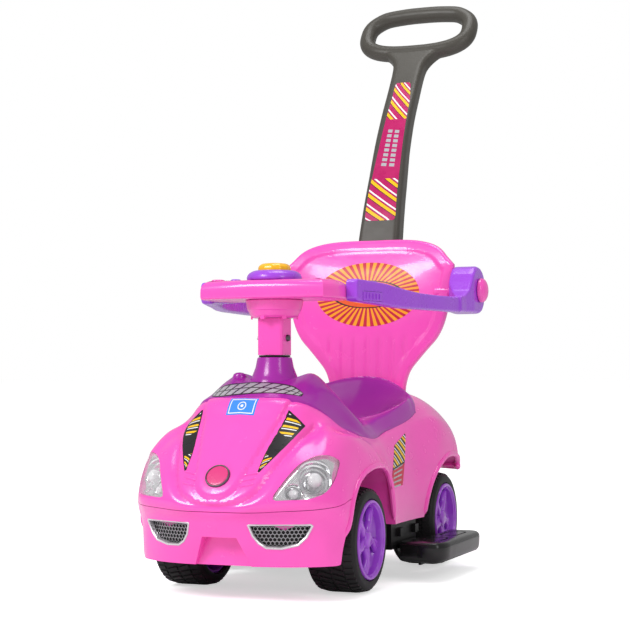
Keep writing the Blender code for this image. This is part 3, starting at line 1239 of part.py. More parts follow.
def back_front(x, z):
    """How far back the face of the backrest stands at a place, in drawn millimetres."""
    middle = np.interp(z, *zip(*CENTRE_LINE))
    side = np.interp(z, *zip(*SIDE_LINE))
    return side + (middle - side) * (1 - min(1.0, abs(x) / 143) ** 2)


def back_section(x):
    low = np.interp(abs(x), *zip(*LOW_EDGE))
    high = np.interp(abs(x), *zip(*HIGH_EDGE))
    far = 4.0 if abs(x) > 142 else (1.2 if abs(x) > 137 else 0.0)
    front = []
    rear = []
    for k in range(BACK_ROWS + 1):
        z = low + (high - low) * k / BACK_ROWS
        tuck = 3.4 if k in (0, BACK_ROWS) else 0.0
        y = back_front(x, z)
        front.append((x * BACK_HALF_WIDTH / 0.143, y + max(far, tuck), z))
        rear.append((x * BACK_HALF_WIDTH / 0.143, y + BACK_WALL / MM - max(far, tuck), z))
    return [(a * MM, back_y + (b - 4) * MM, c * MM) for a, b, c in front + rear[::-1]]


columns = [-x for x in STATIONS[:0:-1]] + STATIONS
backrest = loft("backrest", [back_section(x) for x in columns])
for sign in (-1, 1):
    low, high = sorted((sign * (EAR_INNER_X - 0.032), sign * (EAR_INNER_X - GAP)))
    join(backrest, rod("boss", BOSS_RADIUS, low, high, (0, pivot_y, pivot_z), "X", 18))
rod_y = WHEELBASE + ROD_BEHIND
bore_x = ROD_HALF_WIDTH + ROD_CLEARANCE
bore_y = ROD_HALF_DEPTH + ROD_CLEARANCE
socket_low = ROD_LOW_Z - GAP - SOCKET_FLOOR
socket_x = bore_x + SOCKET_WALL
socket_y = bore_y + SOCKET_WALL
outer = [(-socket_x, back_y - 0.01), (socket_x, back_y - 0.01), (socket_x, rod_y + socket_y - 0.006),
         (socket_x - 0.006, rod_y + socket_y), (-socket_x + 0.006, rod_y + socket_y),
         (-socket_x, rod_y + socket_y - 0.006)]
socket = prism("socket", outer, "Z", socket_low, SOCKET_HIGH_Z)
socket_lean = [(back_y - 0.002, socket_low - 0.01), (rod_y + 0.1, socket_low - 0.01),
               (rod_y + 0.1, SOCKET_HIGH_Z + 0.01), (back_y + 0.010, SOCKET_HIGH_Z + 0.01)]
meet(socket, prism("lean", socket_lean, "X", -0.2, 0.2))
join(backrest, socket)
inner = rounded_rectangle(bore_x, bore_y, 0.006, 3, (0, rod_y))
cut(backrest, prism("socket_bore", inner, "Z", ROD_LOW_Z - GAP, 0.7))
for sign in (-1, 1):
    low, high = sorted((sign * (pin_in - GAP), sign * 0.3))
    cut(backrest, rod("boss_bore", PIN_RADIUS + BORE_CLEARANCE, low, high, (0, pivot_y, pivot_z), "X", 20))
lock_z = SOCKET_HIGH_Z - 0.032
lock_face = rod_y + socket_y
ring_profile = [(LOCK_RADIUS - 0.001, -0.0015), (LOCK_RADIUS + 0.004, -0.0015),
                (LOCK_RADIUS + 0.0035, 0.003), (LOCK_RADIUS - 0.001, 0.003)]
join(backrest, turned("lock_ring", ring_profile, 16, (0, lock_face, lock_z), "Y", ring=True))
cut(backrest, rod("lock_hole", LOCK_RADIUS + GAP, rod_y, lock_face + 0.02, (0, 0, lock_z), "Y", 16))
tidy_mesh(backrest)
finish_mesh(backrest, pink)
lock_in = rod_y + ROD_HALF_DEPTH + ROD_CLEARANCE + LOCK_TRAVEL
lock_black = make_material("lock_black", BLACK, 0.4)
lock_out = lock_face + 0.0055
lock_profile = [(0, lock_in), (LOCK_RADIUS, lock_in), (LOCK_RADIUS, lock_out - 0.001),
                (LOCK_RADIUS - 0.001, lock_out), (0, lock_out)]
turned("handle_lock_button", lock_profile, 16, (0, 0, lock_z), "Y", lock_black)

# Push handle: a flat curved bar that widens into a grip loop
handle_grey = make_material("handle_grey", GREY, 0.45)
HANDLE_LINE = [(0, 335, 36, 17), (0, 450, 36, 17), (3, 480, 35.5, 17), (12.5, 513, 34.5, 17),
               (29, 562, 32.5, 17), (49.6, 612.5, 30.5, 16.5), (71, 665.5, 28.5, 16),
               (101, 720.6, 27, 15.5), (131, 765, 26.5, 15),
               (158.7, 806, 27, 14.5), (171, 824, 31, 14), (181, 839, 43, 13), (189, 851, 60, 11.5)]
sections = []
for i, (dy, z, wide, deep) in enumerate(HANDLE_LINE):
    before = HANDLE_LINE[max(i - 1, 0)]
    after = HANDLE_LINE[min(i + 1, len(HANDLE_LINE) - 1)]
    along = Vector((0, after[0] - before[0], after[1] - before[1])).normalized()
    if i < 2:
        along = Vector((0, 0, 1))
    across = Vector((0, along.z, -along.y))
    a = wide / 36 * ROD_HALF_WIDTH
    b = deep / 17 * ROD_HALF_DEPTH
    centre = Vector((0, rod_y + dy * MM, ROD_LOW_Z + (z - 335) * MM))
    ring = rounded_rectangle(a, b, min(0.006, b * 0.6), 2)
    sections.append([centre + Vector((1, 0, 0)) * u + across * v for u, v in ring])
handle = loft("push_handle", sections)
up = Vector((0, 0.569, 0.822))
middle = Vector((0, rod_y + 0.216, ROD_LOW_Z + 0.555))
loop = []
steps = 26
for k in range(steps):
    angle = 2 * math.pi * k / steps
    c = math.cos(angle)
    d = math.sin(angle)
    power = 2 / 2.7
    loop.append(middle + Vector((1, 0, 0)) * GRIP_HALF_WIDTH * math.copysign(abs(c) ** power, c)
                + up * GRIP_HALF_HEIGHT * math.copysign(abs(d) ** power, d))
verts = []
side = up.cross(Vector((1, 0, 0)))
for k in range(steps):
    along = (loop[(k + 1) % steps] - loop[k - 1]).normalized()
    out = along.cross(side)
    for m in range(8):
        angle = 2 * math.pi * (m + 0.5) / 8
        verts.append(loop[k] + out * GRIP_TUBE * math.cos(angle) + side * GRIP_TUBE * 1.06 * math.sin(angle))
faces = []
for k in range(steps):
    n = (k + 1) % steps
    for m in range(8):
        q = (m + 1) % 8
        faces.append((k * 8 + m, k * 8 + q, n * 8 + q, n * 8 + m))
join(handle, mesh_object("grip", verts, faces))
tidy_mesh(handle)
finish_mesh(handle, handle_grey, 40)

# The whole car is moved so that its footprint's middle stands at the origin
pieces = [item for item in bpy.data.objects if item.type == "MESH"]
reach = [v.co.y for item in pieces for v in item.data.vertices]
CAR.location.y = -(min(reach) + max(reach)) / 2

latch_x, latch_y = on_arm(0.026, 0.0)
AXES = {
    "steering_axis": ((0, COLUMN_Y, 0), ["steering_column", "column_sleeve", "column_bolt", "column_nut",
                                         "steering_hub", "console_base", "steering_console", "music_dome",
                                         "sound_board", "speaker", "battery_box"]),
    "horn_slide": ((0, COLUMN_Y, horn_low), ["horn_button"]),
    "tune_pink_slide": ((TUNE_PINK_X, tune_y, console_top), ["tune_button_pink"]),
    "tune_purple_slide": ((TUNE_PURPLE_X, tune_y, console_top), ["tune_button_purple"]),
    "tie_rod_slide": ((0, centre_y, tie_low), ["tie_rod"]),
    "knuckle_left_axis": ((KINGPIN_X, 0, TYRE_RADIUS), ["knuckle_left", "axle_nut_front_left"]),
    "knuckle_right_axis": ((-KINGPIN_X, 0, TYRE_RADIUS), ["knuckle_right", "axle_nut_front_right"]),
    "wheel_front_left_axis": ((TRACK_HALF, 0, TYRE_RADIUS), ["tyre_front_left", "rim_front_left"]),
    "wheel_front_right_axis": ((-TRACK_HALF, 0, TYRE_RADIUS), ["tyre_front_right", "rim_front_right"]),
    "wheel_rear_left_axis": ((TRACK_HALF, WHEELBASE, TYRE_RADIUS), ["tyre_rear_left", "rim_rear_left"]),
    "wheel_rear_right_axis": ((-TRACK_HALF, WHEELBASE, TYRE_RADIUS), ["tyre_rear_right", "rim_rear_right"]),
    "guard_left_axis": ((EAR_INNER_X, pivot_y, pivot_z), ["guard_arm_left", "guard_knob_left"]),
    "guard_right_axis": ((-EAR_INNER_X, pivot_y, pivot_z), ["guard_arm_right", "guard_knob_right"]),
    "latch_left_slide": ((latch_x, latch_y, latch_low), ["guard_latch_left"]),
    "latch_right_slide": ((-latch_x, latch_y, latch_low), ["guard_latch_right"]),
    "handle_slide": ((0, rod_y, ROD_LOW_Z), ["push_handle"]),
    "lock_slide": ((0, lock_in, lock_z), ["handle_lock_button"]),
    "footrest_left_slide": ((rest_root, rest_front, prong_low), ["footrest_left"]),
    "footrest_right_slide": ((-rest_root, rest_front, prong_low), ["footrest_right"]),
}
for name, (place, items) in AXES.items():
    axis = bpy.data.objects.new(name, None)
    bpy.context.collection.objects.link(axis)
    axis.parent = CAR
    axis.location = place
    for item in items:
        bpy.data.objects[item].parent = axis
        bpy.data.objects[item].location = -Vector(place)
bpy.context.view_layer.update()
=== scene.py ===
import math

import bmesh
import bpy
import numpy as np
from mathutils import Matrix, Vector
from mathutils.bvhtree import BVHTree


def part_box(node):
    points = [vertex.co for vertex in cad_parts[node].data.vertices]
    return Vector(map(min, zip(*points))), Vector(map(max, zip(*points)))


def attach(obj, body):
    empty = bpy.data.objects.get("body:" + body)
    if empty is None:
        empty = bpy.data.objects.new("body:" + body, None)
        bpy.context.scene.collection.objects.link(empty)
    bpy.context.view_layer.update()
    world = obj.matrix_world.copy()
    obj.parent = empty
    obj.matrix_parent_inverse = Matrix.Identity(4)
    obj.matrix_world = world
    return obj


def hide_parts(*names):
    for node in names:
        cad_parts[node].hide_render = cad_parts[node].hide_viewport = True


# Looks of a foot-to-floor ride-on car, dressed over its CAD frame. Metres, +Z up. Shapes are made
# in the car's own coordinates, y from the front axle and the car's left at +X, then moved onto it.

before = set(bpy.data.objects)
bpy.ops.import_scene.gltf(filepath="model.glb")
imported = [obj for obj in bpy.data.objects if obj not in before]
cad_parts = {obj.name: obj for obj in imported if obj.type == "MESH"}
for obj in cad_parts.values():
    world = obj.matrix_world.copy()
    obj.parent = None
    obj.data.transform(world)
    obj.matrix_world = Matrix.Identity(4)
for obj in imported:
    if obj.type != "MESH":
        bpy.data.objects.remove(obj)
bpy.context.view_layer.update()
MM = 0.001


def centre_of(node):
    low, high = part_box(node)
    return [(a + b) / 2 for a, b in zip(low, high)]


CAR_Y = centre_of("tyre_front_left")[1]

# Sizes shared with the CAD source
WHEELBASE = 0.334
HALF_WIDTH = 0.150
GAP = 0.0004
SHELL = 0.0034
TYRE_RADIUS = 0.070
TYRE_WIDTH = 0.072
RIM_RADIUS = 0.0532
HUB_RADIUS = 0.0125
TRACK_HALF = 0.1115
COLUMN_Y = 0.017
CONE_BASE_RADIUS = 0.033
CONE_TOP_RADIUS = 0.0232
CONE_HEIGHT = 0.031
CONSOLE_RADIUS = 0.102
CONSOLE_FRONT = 0.047
CONSOLE_REAR = 0.056
DOME_RADIUS = 0.038
HORN_RADIUS = 0.0228
SKIRT_Z = 0.192
BACK_Y = 0.396
BACK_WALL = 0.013
ROD_Y = 0.448

# Colours
PINK = (0.94, 0.085, 0.50)
MAGENTA = (0.68, 0.035, 0.20)
COWL = (0.37, 0.020, 0.36)
# Painted shade: the dish is the cowl's plastic, given a darker purple
PAINTED_SHADE_DISH = (0.27, 0.012, 0.26)
VIOLET = (0.34, 0.055, 0.68)
RIM_VIOLET = (0.34, 0.055, 0.60)
YELLOW = (0.92, 0.48, 0.008)
BLACK = (0.006, 0.0055, 0.006)
GREY = (0.062, 0.057, 0.048)
WHITE = (0.85, 0.85, 0.86)
INK = (0.018, 0.016, 0.018)
BLUE = (0.05, 0.25, 0.80)
CRIMSON = (0.55, 0.012, 0.05)
LABEL_PINK = (0.46, 0.010, 0.12)
LABEL_GREY = (0.42, 0.42, 0.45)
AMBER = (0.90, 0.52, 0.01)
FLAME = (0.93, 0.36, 0.02)
FLAME_RED = (0.80, 0.10, 0.02)
FLAME_YELLOW = (0.93, 0.42, 0.03)
BADGE_GREY = (0.45, 0.45, 0.48)
TYRE_BLACK = (0.014, 0.013, 0.014)
SHADE_BLACK = (0.004, 0.004, 0.004)
ZINC = (0.56, 0.56, 0.58)
DARK_ZINC = (0.13, 0.13, 0.14)
CHROME = (0.74, 0.74, 0.76)
TRIM_SILVER = (0.66, 0.64, 0.67)
MESH_SILVER = (0.36, 0.35, 0.37)
FROST = (0.70, 0.70, 0.72)
BOARD_GREEN = (0.02, 0.16, 0.06)
CLEAR = (0.97, 0.97, 0.98)


def new_material(name):
    material = bpy.data.materials.new(name)
    material.use_nodes = True
    return material, material.node_tree, material.node_tree.nodes["Principled BSDF"]


def coordinates(tree, kind="Object"):
    return tree.nodes.new("ShaderNodeTexCoord").outputs[kind]


def noise(tree, place, scale, detail=2.0):
    item = tree.nodes.new("ShaderNodeTexNoise")
    item.inputs["Scale"].default_value = scale
    item.inputs["Detail"].default_value = detail
    tree.links.new(place, item.inputs["Vector"])
    return item.outputs["Fac"]


def spread(tree, value, low, high, source=(0.3, 0.7)):
    """Maps a value that varies over a surface onto another range."""
    item = tree.nodes.new("ShaderNodeMapRange")
    item.inputs["From Min"].default_value = source[0]
    item.inputs["From Max"].default_value = source[1]
    item.inputs["To Min"].default_value = low
    item.inputs["To Max"].default_value = high
    tree.links.new(value, item.inputs["Value"])
    return item.outputs["Result"]


def tint(tree, value, stops):
    """A colour ramp over a value."""
    item = tree.nodes.new("ShaderNodeValToRGB")
    ramp = item.color_ramp
    while len(ramp.elements) < len(stops):
        ramp.elements.new(0.5)
    for element, (place, colour) in zip(ramp.elements, stops):
        element.position = place
        element.color = (*colour, 1.0)
    tree.links.new(value, item.inputs["Fac"])
    return item.outputs["Color"]


def bump(tree, height, distance, before=None):
    item = tree.nodes.new("ShaderNodeBump")
    item.inputs["Distance"].default_value = distance
    item.inputs["Strength"].default_value = 1.0
    tree.links.new(height, item.inputs["Height"])
    if before is not None:
        tree.links.new(before, item.inputs["Normal"])
    return item.outputs["Normal"]


def scaled(colour, factor):
    return tuple(min(1.0, c * factor) for c in colour)


def clouded(tree, clouds, colour, share):
    """A colour that drifts over a surface by a share of its strength."""
    return tint(tree, clouds, ((0.3, scaled(colour, 1 - share)), (0.7, scaled(colour, 1 + share))))


def moulded(name, colour, rough, grain=0.00002, grain_scale=1400.0, mottle=0.03, metallic=0.0,
            coat=0.0, gloss=0.5):
    """Moulded plastic or plain metal: slight clouds of colour and gloss over a fine grain."""
    material, tree, shader = new_material(name)
    place = coordinates(tree)
    clouds = noise(tree, place, 14.0, 3.0)
    tree.links.new(clouded(tree, clouds, colour, mottle), shader.inputs["Base Color"])
    sheen = noise(tree, place, 45.0, 4.0)
    tree.links.new(spread(tree, sheen, rough - 0.03, rough + 0.04), shader.inputs["Roughness"])
    shader.inputs["Metallic"].default_value = metallic
    shader.inputs["Coat Weight"].default_value = coat
    shader.inputs["Specular IOR Level"].default_value = gloss
    shader.inputs["Coat Roughness"].default_value = 0.06
    waves = bump(tree, noise(tree, place, 90.0, 1.0), 0.00012)
    tree.links.new(bump(tree, noise(tree, place, grain_scale), grain, waves), shader.inputs["Normal"])
    return material


pink = moulded("pink_plastic", PINK, 0.24, coat=0.25)
deep_pink = moulded("magenta_plastic", MAGENTA, 0.26, coat=0.3)
cowl_purple = moulded("cowl_plastic", COWL, 0.22, coat=0.10, gloss=0.35)
# The dish is rougher and duller than the cowl; its darker colour is painted shade
shaded_dish_purple = moulded("dish_plastic_painted_shade", PAINTED_SHADE_DISH, 0.36, grain=0.00005, grain_scale=900.0, gloss=0.18)
violet = moulded("violet_plastic", VIOLET, 0.27, coat=0.2)
rim_violet = moulded("rim_plastic", RIM_VIOLET, 0.20, coat=0.4)
yellow = moulded("yellow_plastic", YELLOW, 0.26, coat=0.2)
black = moulded("black_plastic", BLACK, 0.42, grain=0.00005, mottle=0.15, gloss=0.22)
gloss_black = moulded("gloss_black_plastic", BLACK, 0.22, mottle=0.15, gloss=0.40)
tyre_black = moulded("tyre_plastic", TYRE_BLACK, 0.48, grain=0.00006, grain_scale=700.0, mottle=0.2,
                     gloss=0.22)
grey = moulded("grey_plastic", GREY, 0.38, grain=0.00005, grain_scale=1000.0, mottle=0.05, gloss=0.35)
steel = moulded("zinc_steel", ZINC, 0.30, metallic=1.0, mottle=0.06)
dark_steel = moulded("dark_steel", DARK_ZINC, 0.35, metallic=1.0, mottle=0.1)
chrome = moulded("chrome_film", CHROME, 0.10, metallic=1.0, mottle=0.02)
trim_silver = moulded("trim_silver", TRIM_SILVER, 0.26, metallic=0.5, mottle=0.04)
silver = moulded("silver_film", MESH_SILVER, 0.30, metallic=0.8, mottle=0.08)
bulb_white = moulded("bulb_frost", FROST, 0.12, mottle=0.02, coat=0.5)
board_green = moulded("board_green", BOARD_GREEN, 0.45, mottle=0.2)
# A near-black sheet of painted shade, put behind the grille holes
painted_shade_black = moulded("shadow_black", SHADE_BLACK, 0.7, mottle=0.2)


def clear_plastic(name):
    """Thin clear plastic: see-through, with gloss that grows towards its edges."""
    material, tree, shader = new_material(name)
    place = coordinates(tree)
    shader.inputs["Base Color"].default_value = (*CLEAR, 1.0)
    tree.links.new(spread(tree, noise(tree, place, 60.0), 0.02, 0.05), shader.inputs["Roughness"])
    weight = tree.nodes.new("ShaderNodeLayerWeight")
    weight.inputs["Blend"].default_value = 0.25
    alpha = spread(tree, weight.outputs["Fresnel"], 0.08, 0.26, (0.0, 1.0))
    tree.links.new(alpha, shader.inputs["Alpha"])
    tree.links.new(bump(tree, noise(tree, place, 160.0), 0.00008), shader.inputs["Normal"])
    return material


clear = clear_plastic("clear_plastic")


def finish(item, body, nodes=(), sharp=32.0):
    """Moves a finished piece onto the frame, shades it, hangs it on the body it rides on and hides the
    CAD parts it stands for.
    """
    item.data.transform(Matrix.Translation((0, CAR_Y, 0)))
    item.data.shade_smooth()
    item.data.set_sharp_from_angle(angle=math.radians(sharp))
    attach(item, body)
    if nodes:
        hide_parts(*nodes)
    return item


def place_object(name, data):
    item = bpy.data.objects.new(name, data)
    bpy.context.collection.objects.link(item)
    return item


def mesh_object(name, verts, faces, materials=(), marks=None):
    """A mesh with outward faces; marks gives each face's material."""
    mesh = bpy.data.meshes.new(name)
    mesh.from_pydata([tuple(v) for v in verts], [], faces)
    for material in materials:
        mesh.materials.append(material)
    if marks is not None:
        mesh.polygons.foreach_set("material_index", marks)
    work = bmesh.new()
    work.from_mesh(mesh)
    bmesh.ops.recalc_face_normals(work, faces=work.faces[:])
    work.to_mesh(mesh)
    work.free()
    return place_object(name, mesh)


def bake(item):
    """Applies the item's modifiers to its mesh."""
    bpy.context.view_layer.update()
    graph = bpy.context.evaluated_depsgraph_get()
    mesh = bpy.data.meshes.new_from_object(item.evaluated_get(graph))
    item.modifiers.clear()
    item.data = mesh
    return item


def combine(item, other, operation):
    modifier = item.modifiers.new("cut", "BOOLEAN")
    modifier.object = other
    modifier.operation = operation
    modifier.solver = "EXACT"
    bake(item)
    bpy.data.objects.remove(other, do_unlink=True)
    return item


def cut(item, other):
    return combine(item, other, "DIFFERENCE")


def meet(item, other):
    return combine(item, other, "INTERSECT")


def merge(item, *others):
    """Adds the faces of other pieces to a piece's mesh as they are."""
    work = bmesh.new()
    names = [material.name for material in item.data.materials]
    work.from_mesh(item.data)
    for other in others:
        shift = {}
        for k, material in enumerate(other.data.materials):
            if material.name not in names:
                names.append(material.name)
                item.data.materials.append(material)
            shift[k] = names.index(material.name)
        start = len(work.faces)
        work.from_mesh(other.data)
        work.faces.ensure_lookup_table()
        for face in work.faces[start:]:
            face.material_index = shift.get(face.material_index, 0)
        bpy.data.objects.remove(other, do_unlink=True)
    work.to_mesh(item.data)
    work.free()
    return item


def copy_of(item, name):
    twin = item.copy()
    twin.data = item.data.copy()
    twin.name = name
    bpy.context.collection.objects.link(twin)
    return twin


def mirror_of(item, name):
    """The same piece on the car's other side."""
    twin = copy_of(item, name)
    twin.data.transform(Matrix.Scale(-1, 4, (1, 0, 0)))
    twin.data.flip_normals()
    return twin


def finish_pair(item, body, node, sharp=32.0):
    """Finishes a left piece and its mirror image, on the car or on a pair of bodies."""
    twin = mirror_of(item, item.name.replace("left", "right"))
    for piece, side in ((item, "_left"), (twin, "_right")):
        finish(piece, body if body == "car" else body + side, (node + side,), sharp)


def keep_largest(item):
    """Leaves only the largest connected part of a mesh."""
    work = bmesh.new()
    work.from_mesh(item.data)
    rest = set(work.verts)
    groups = []
    while rest:
        stack = [rest.pop()]
        group = []
        while stack:
            vert = stack.pop()
            group.append(vert)
            fresh = [e.other_vert(vert) for e in vert.link_edges if e.other_vert(vert) in rest]
            rest.difference_update(fresh)
            stack.extend(fresh)
        groups.append(group)
    groups.sort(key=len)
    for group in groups[:-1]:
        bmesh.ops.delete(work, geom=group, context="VERTS")
    work.to_mesh(item.data)
    work.free()
    return item


def smooth_line(points, steps):
    """Points on a Catmull-Rom curve through the given points."""
    pts = np.asarray(points, dtype=float)
    ends = np.concatenate([[2 * pts[0] - pts[1]], pts, [2 * pts[-1] - pts[-2]]])
    out = []
    for i in range(len(pts) - 1):
        a, b, c, d = ends[i:i + 4]
        for k in range(steps):
            t = k / steps
            out.append(0.5 * (2 * b + (c - a) * t + (2 * a - 5 * b + 4 * c - d) * t ** 2
                              + (3 * b - a - 3 * c + d) * t ** 3))
    out.append(pts[-1])
    return np.array(out)


def smooth_loop(points, steps):
    """The same for a closed outline."""
    pts = [tuple(p) for p in points]
    line = smooth_line([pts[-1]] + pts + [pts[0], pts[1]], steps)
    return line[steps:-steps - 1]


def grid_faces(rows, columns, closed=False):
    faces = []
    for i in range(rows - 1):
        for j in range(columns if closed else columns - 1):
            k = (j + 1) % columns
            low, high = i * columns, (i + 1) * columns
            faces.append((low + j, low + k, high + k, high + j))
    return faces


def loft(name, sections, materials=(), closed=True, capped=True):
    """A skin over matching sections."""
    rows = len(sections)
    columns = len(sections[0])
    verts = [p for section in sections for p in section]
    faces = grid_faces(rows, columns, closed)
    if capped:
        faces.append(tuple(range(columns)))
        faces.append(tuple(range((rows - 1) * columns, rows * columns)))
    return mesh_object(name, verts, faces, materials)


def prism(name, outline, axis, low, high, materials=()):
    """An outline drawn on the plane across an axis, stretched from low to high along it."""
    sections = []
    for level in (low, high):
        row = []
        for a, b in outline:
            point = [a, b]
            point.insert("XYZ".index(axis), level)
            row.append(point)
        sections.append(row)
    return loft(name, sections, materials)


def turned(name, profile, segments, place, axis="Z", materials=(), ring=False):
    """A profile of (radius, height) turned about an axis. A ring has a closed profile."""
    turns = {"Z": Matrix.Identity(3), "X": Matrix.Rotation(math.radians(90), 3, "Y"),
             "Y": Matrix.Rotation(math.radians(-90), 3, "X")}
    verts = []
    faces = []
    index = []
    for radius, height in profile:
        if radius < 1e-9:
            index.append([len(verts)] * segments)
            verts.append((0.0, 0.0, height))
            continue
        index.append(list(range(len(verts), len(verts) + segments)))
        for k in range(segments):
            angle = 2 * math.pi * k / segments
            verts.append((radius * math.cos(angle), radius * math.sin(angle), height))
    for i in range(len(profile) if ring else len(profile) - 1):
        low = index[i]
        high = index[(i + 1) % len(profile)]
        for k in range(segments):
            m = (k + 1) % segments
            face = []
            for v in (low[k], low[m], high[m], high[k]):
                if v not in face:
                    face.append(v)
            if len(face) > 2:
                faces.append(tuple(face))
    verts = [turns[axis] @ Vector(v) + Vector(place) for v in verts]
    return mesh_object(name, verts, faces, materials)


def rod(name, radius, low, high, segments, place, axis="Z"):
    """A plain cylinder, from low to high along an axis."""
    return turned(name, [(0, low), (radius, low), (radius, high), (0, high)], segments, place, axis)


def rounded(points, radius, steps=4):
    """An open profile of (radius, height) with its inner corners rounded."""
    out = [Vector(points[0])]
    for a, b, c in zip(points, points[1:], points[2:]):
        a, b, c = Vector(a), Vector(b), Vector(c)
        reach = min(radius, (a - b).length * 0.48, (c - b).length * 0.48)
        start = b + (a - b).normalized() * reach
        end = b + (c - b).normalized() * reach
        for k in range(steps + 1):
            t = k / steps
            out.append(start * (1 - t) ** 2 + b * 2 * t * (1 - t) + end * t ** 2)
    out.append(Vector(points[-1]))
    return [tuple(p) for p in out]


def rounded_rectangle(half_a, half_b, radius, steps=4, centre=(0.0, 0.0)):
    points = []
    for sign_a, sign_b, start in ((1, 1, 0), (-1, 1, 90), (-1, -1, 180), (1, -1, 270)):
        for k in range(steps + 1):
            angle = math.radians(start + 90 * k / steps)
            points.append((centre[0] + sign_a * (half_a - radius) + radius * math.cos(angle),
                           centre[1] + sign_b * (half_b - radius) + radius * math.sin(angle)))
    return points


def grow(outline, distance):
    """The outline moved outwards, for an outline that runs counterclockwise."""
    count = len(outline)
    out = []
    for i in range(count):
        before = Vector(outline[i]) - Vector(outline[i - 1])
        after = Vector(outline[(i + 1) % count]) - Vector(outline[i])
        n1 = Vector((before.y, -before.x)).normalized()
        n2 = Vector((after.y, -after.x)).normalized()
        mid = (n1 + n2).normalized()
        out.append(tuple(Vector(outline[i]) + mid * distance / max(mid.dot(n1), 0.5)))
    return out


def counterclockwise(outline):
    outline = [tuple(p) for p in outline]
    area = sum(a[0] * b[1] - b[0] * a[1] for a, b in zip(outline, outline[1:] + outline[:1]))
    return outline if area > 0 else outline[::-1]


def offset_grid(grid, distance):
    """Moves a grid of points along its own normals."""
    normal = np.cross(np.gradient(grid, axis=1), np.gradient(grid, axis=0))
    length = np.linalg.norm(normal, axis=2, keepdims=True)
    distance = np.asarray(distance)
    if distance.ndim == 2:
        distance = distance[:, :, None]
    return grid + normal / np.maximum(length, 1e-12) * distance


def closed_cap(name, grid, floor_z, materials=(), marks=None):
    """A closed solid under a grid of points, down to a flat floor."""
    rows, columns = grid.shape[:2]
    verts = [tuple(p) for p in grid.reshape(-1, 3)]
    faces = grid_faces(rows, columns)
    rim = list(range(columns))
    rim += [i * columns + columns - 1 for i in range(1, rows)]
    rim += [(rows - 1) * columns + j for j in range(columns - 2, -1, -1)]
    rim += [i * columns for i in range(rows - 2, 0, -1)]
    base = len(verts)
    for v in rim:
        verts.append((verts[v][0], verts[v][1], floor_z))
    count = len(rim)
    for k in range(count):
        m = (k + 1) % count
        faces.append((rim[k], rim[m], base + m, base + k))
    faces.append(tuple(base + k for k in range(count)))
    if marks is not None:
        marks = list(marks) + [0] * (len(faces) - len(marks))
    return mesh_object(name, verts, faces, materials, marks)


def depth_inside(points, outline):
    """Signed distance of points into a closed outline, positive inside."""
    points = np.asarray(points, dtype=float)
    ring = np.asarray(outline, dtype=float)
    best = np.full(len(points), 1e9)
    inside = np.zeros(len(points), dtype=bool)
    for a, b in zip(ring, np.roll(ring, -1, axis=0)):
        edge = b - a
        t = np.clip(((points - a) @ edge) / max(edge @ edge, 1e-12), 0, 1)
        best = np.minimum(best, np.linalg.norm(points - a - t[:, None] * edge, axis=1))
        crosses = (a[1] > points[:, 1]) != (b[1] > points[:, 1])
        rise = b[1] - a[1] if abs(b[1] - a[1]) > 1e-12 else 1e-12
        at = a[0] + (points[:, 1] - a[1]) * edge[0] / rise
        inside ^= crosses & (points[:, 0] < at)
    return np.where(inside, best, -best)


def ease(value):
    t = np.clip(value, 0.0, 1.0)
    return t * t * (3 - 2 * t)


def tree_of(item):
    return BVHTree.FromPolygons([v.co.copy() for v in item.data.vertices],
                                [tuple(p.vertices) for p in item.data.polygons])


def bead(name, path, radius, normals, materials, sides=8, sink=0.35):
    """A half-sunk round bead along points on a surface, with tapered ends."""
    path = [Vector(p) for p in path]
    sections = []
    for i, point in enumerate(path):
        along = (path[min(i + 1, len(path) - 1)] - path[max(i - 1, 0)]).normalized()
        up = Vector(normals[i]).normalized()
        side = along.cross(up).normalized()
        edge = min(i, len(path) - 1 - i)
        size = radius * min(1.0, 0.35 + 0.4 * edge)
        middle = point - up * radius * sink
        sections.append([middle + side * size * math.cos(2 * math.pi * k / sides)
                         + up * size * math.sin(2 * math.pi * k / sides) for k in range(sides)])
    return loft(name, sections, materials)


def laid(tree, point, lift, reach):
    """A place on a surface, lifted off it: the nearest one, or the one met along reach."""
    point = Vector(point)
    spot = None
    if reach is not None:
        spot, normal, _, _ = tree.ray_cast(point - Vector(reach) * 0.2, Vector(reach))
    if spot is None:
        spot, normal, _, _ = tree.find_nearest(point)
    return spot + normal * lift


def film(name, tree, spots, faces, places, material):
    """A thin mesh that faces as the surface under it does, with a place in UV for each vertex."""
    item = mesh_object(name, spots, faces, (material,))
    layer = item.data.uv_layers.new(name="UVMap")
    for loop in item.data.loops:
        layer.data[loop.index].uv = places[loop.vertex_index]
    middle = item.data.polygons[len(item.data.polygons) // 2]
    _, normal, _, _ = tree.find_nearest(middle.center)
    if middle.normal.dot(normal) < 0:
        item.data.flip_normals()
    return item


def sheet(name, tree, rows, lift, material, across=(0.0, 1.0), along=(0.0, 1.0), reach=None):
    """A film from a grid of places. Its UV map runs over the given ranges, so that a pattern can be
    written in real sizes."""
    rows = np.asarray(rows, dtype=float)
    count, width = rows.shape[:2]
    spots = [laid(tree, point, lift, reach) for point in rows.reshape(-1, 3)]
    places = [(across[0] + (across[1] - across[0]) * j / (width - 1),
               along[0] + (along[1] - along[0]) * i / (count - 1))
              for i in range(count) for j in range(width)]
    return film(name, tree, spots, grid_faces(count, width), places, material)


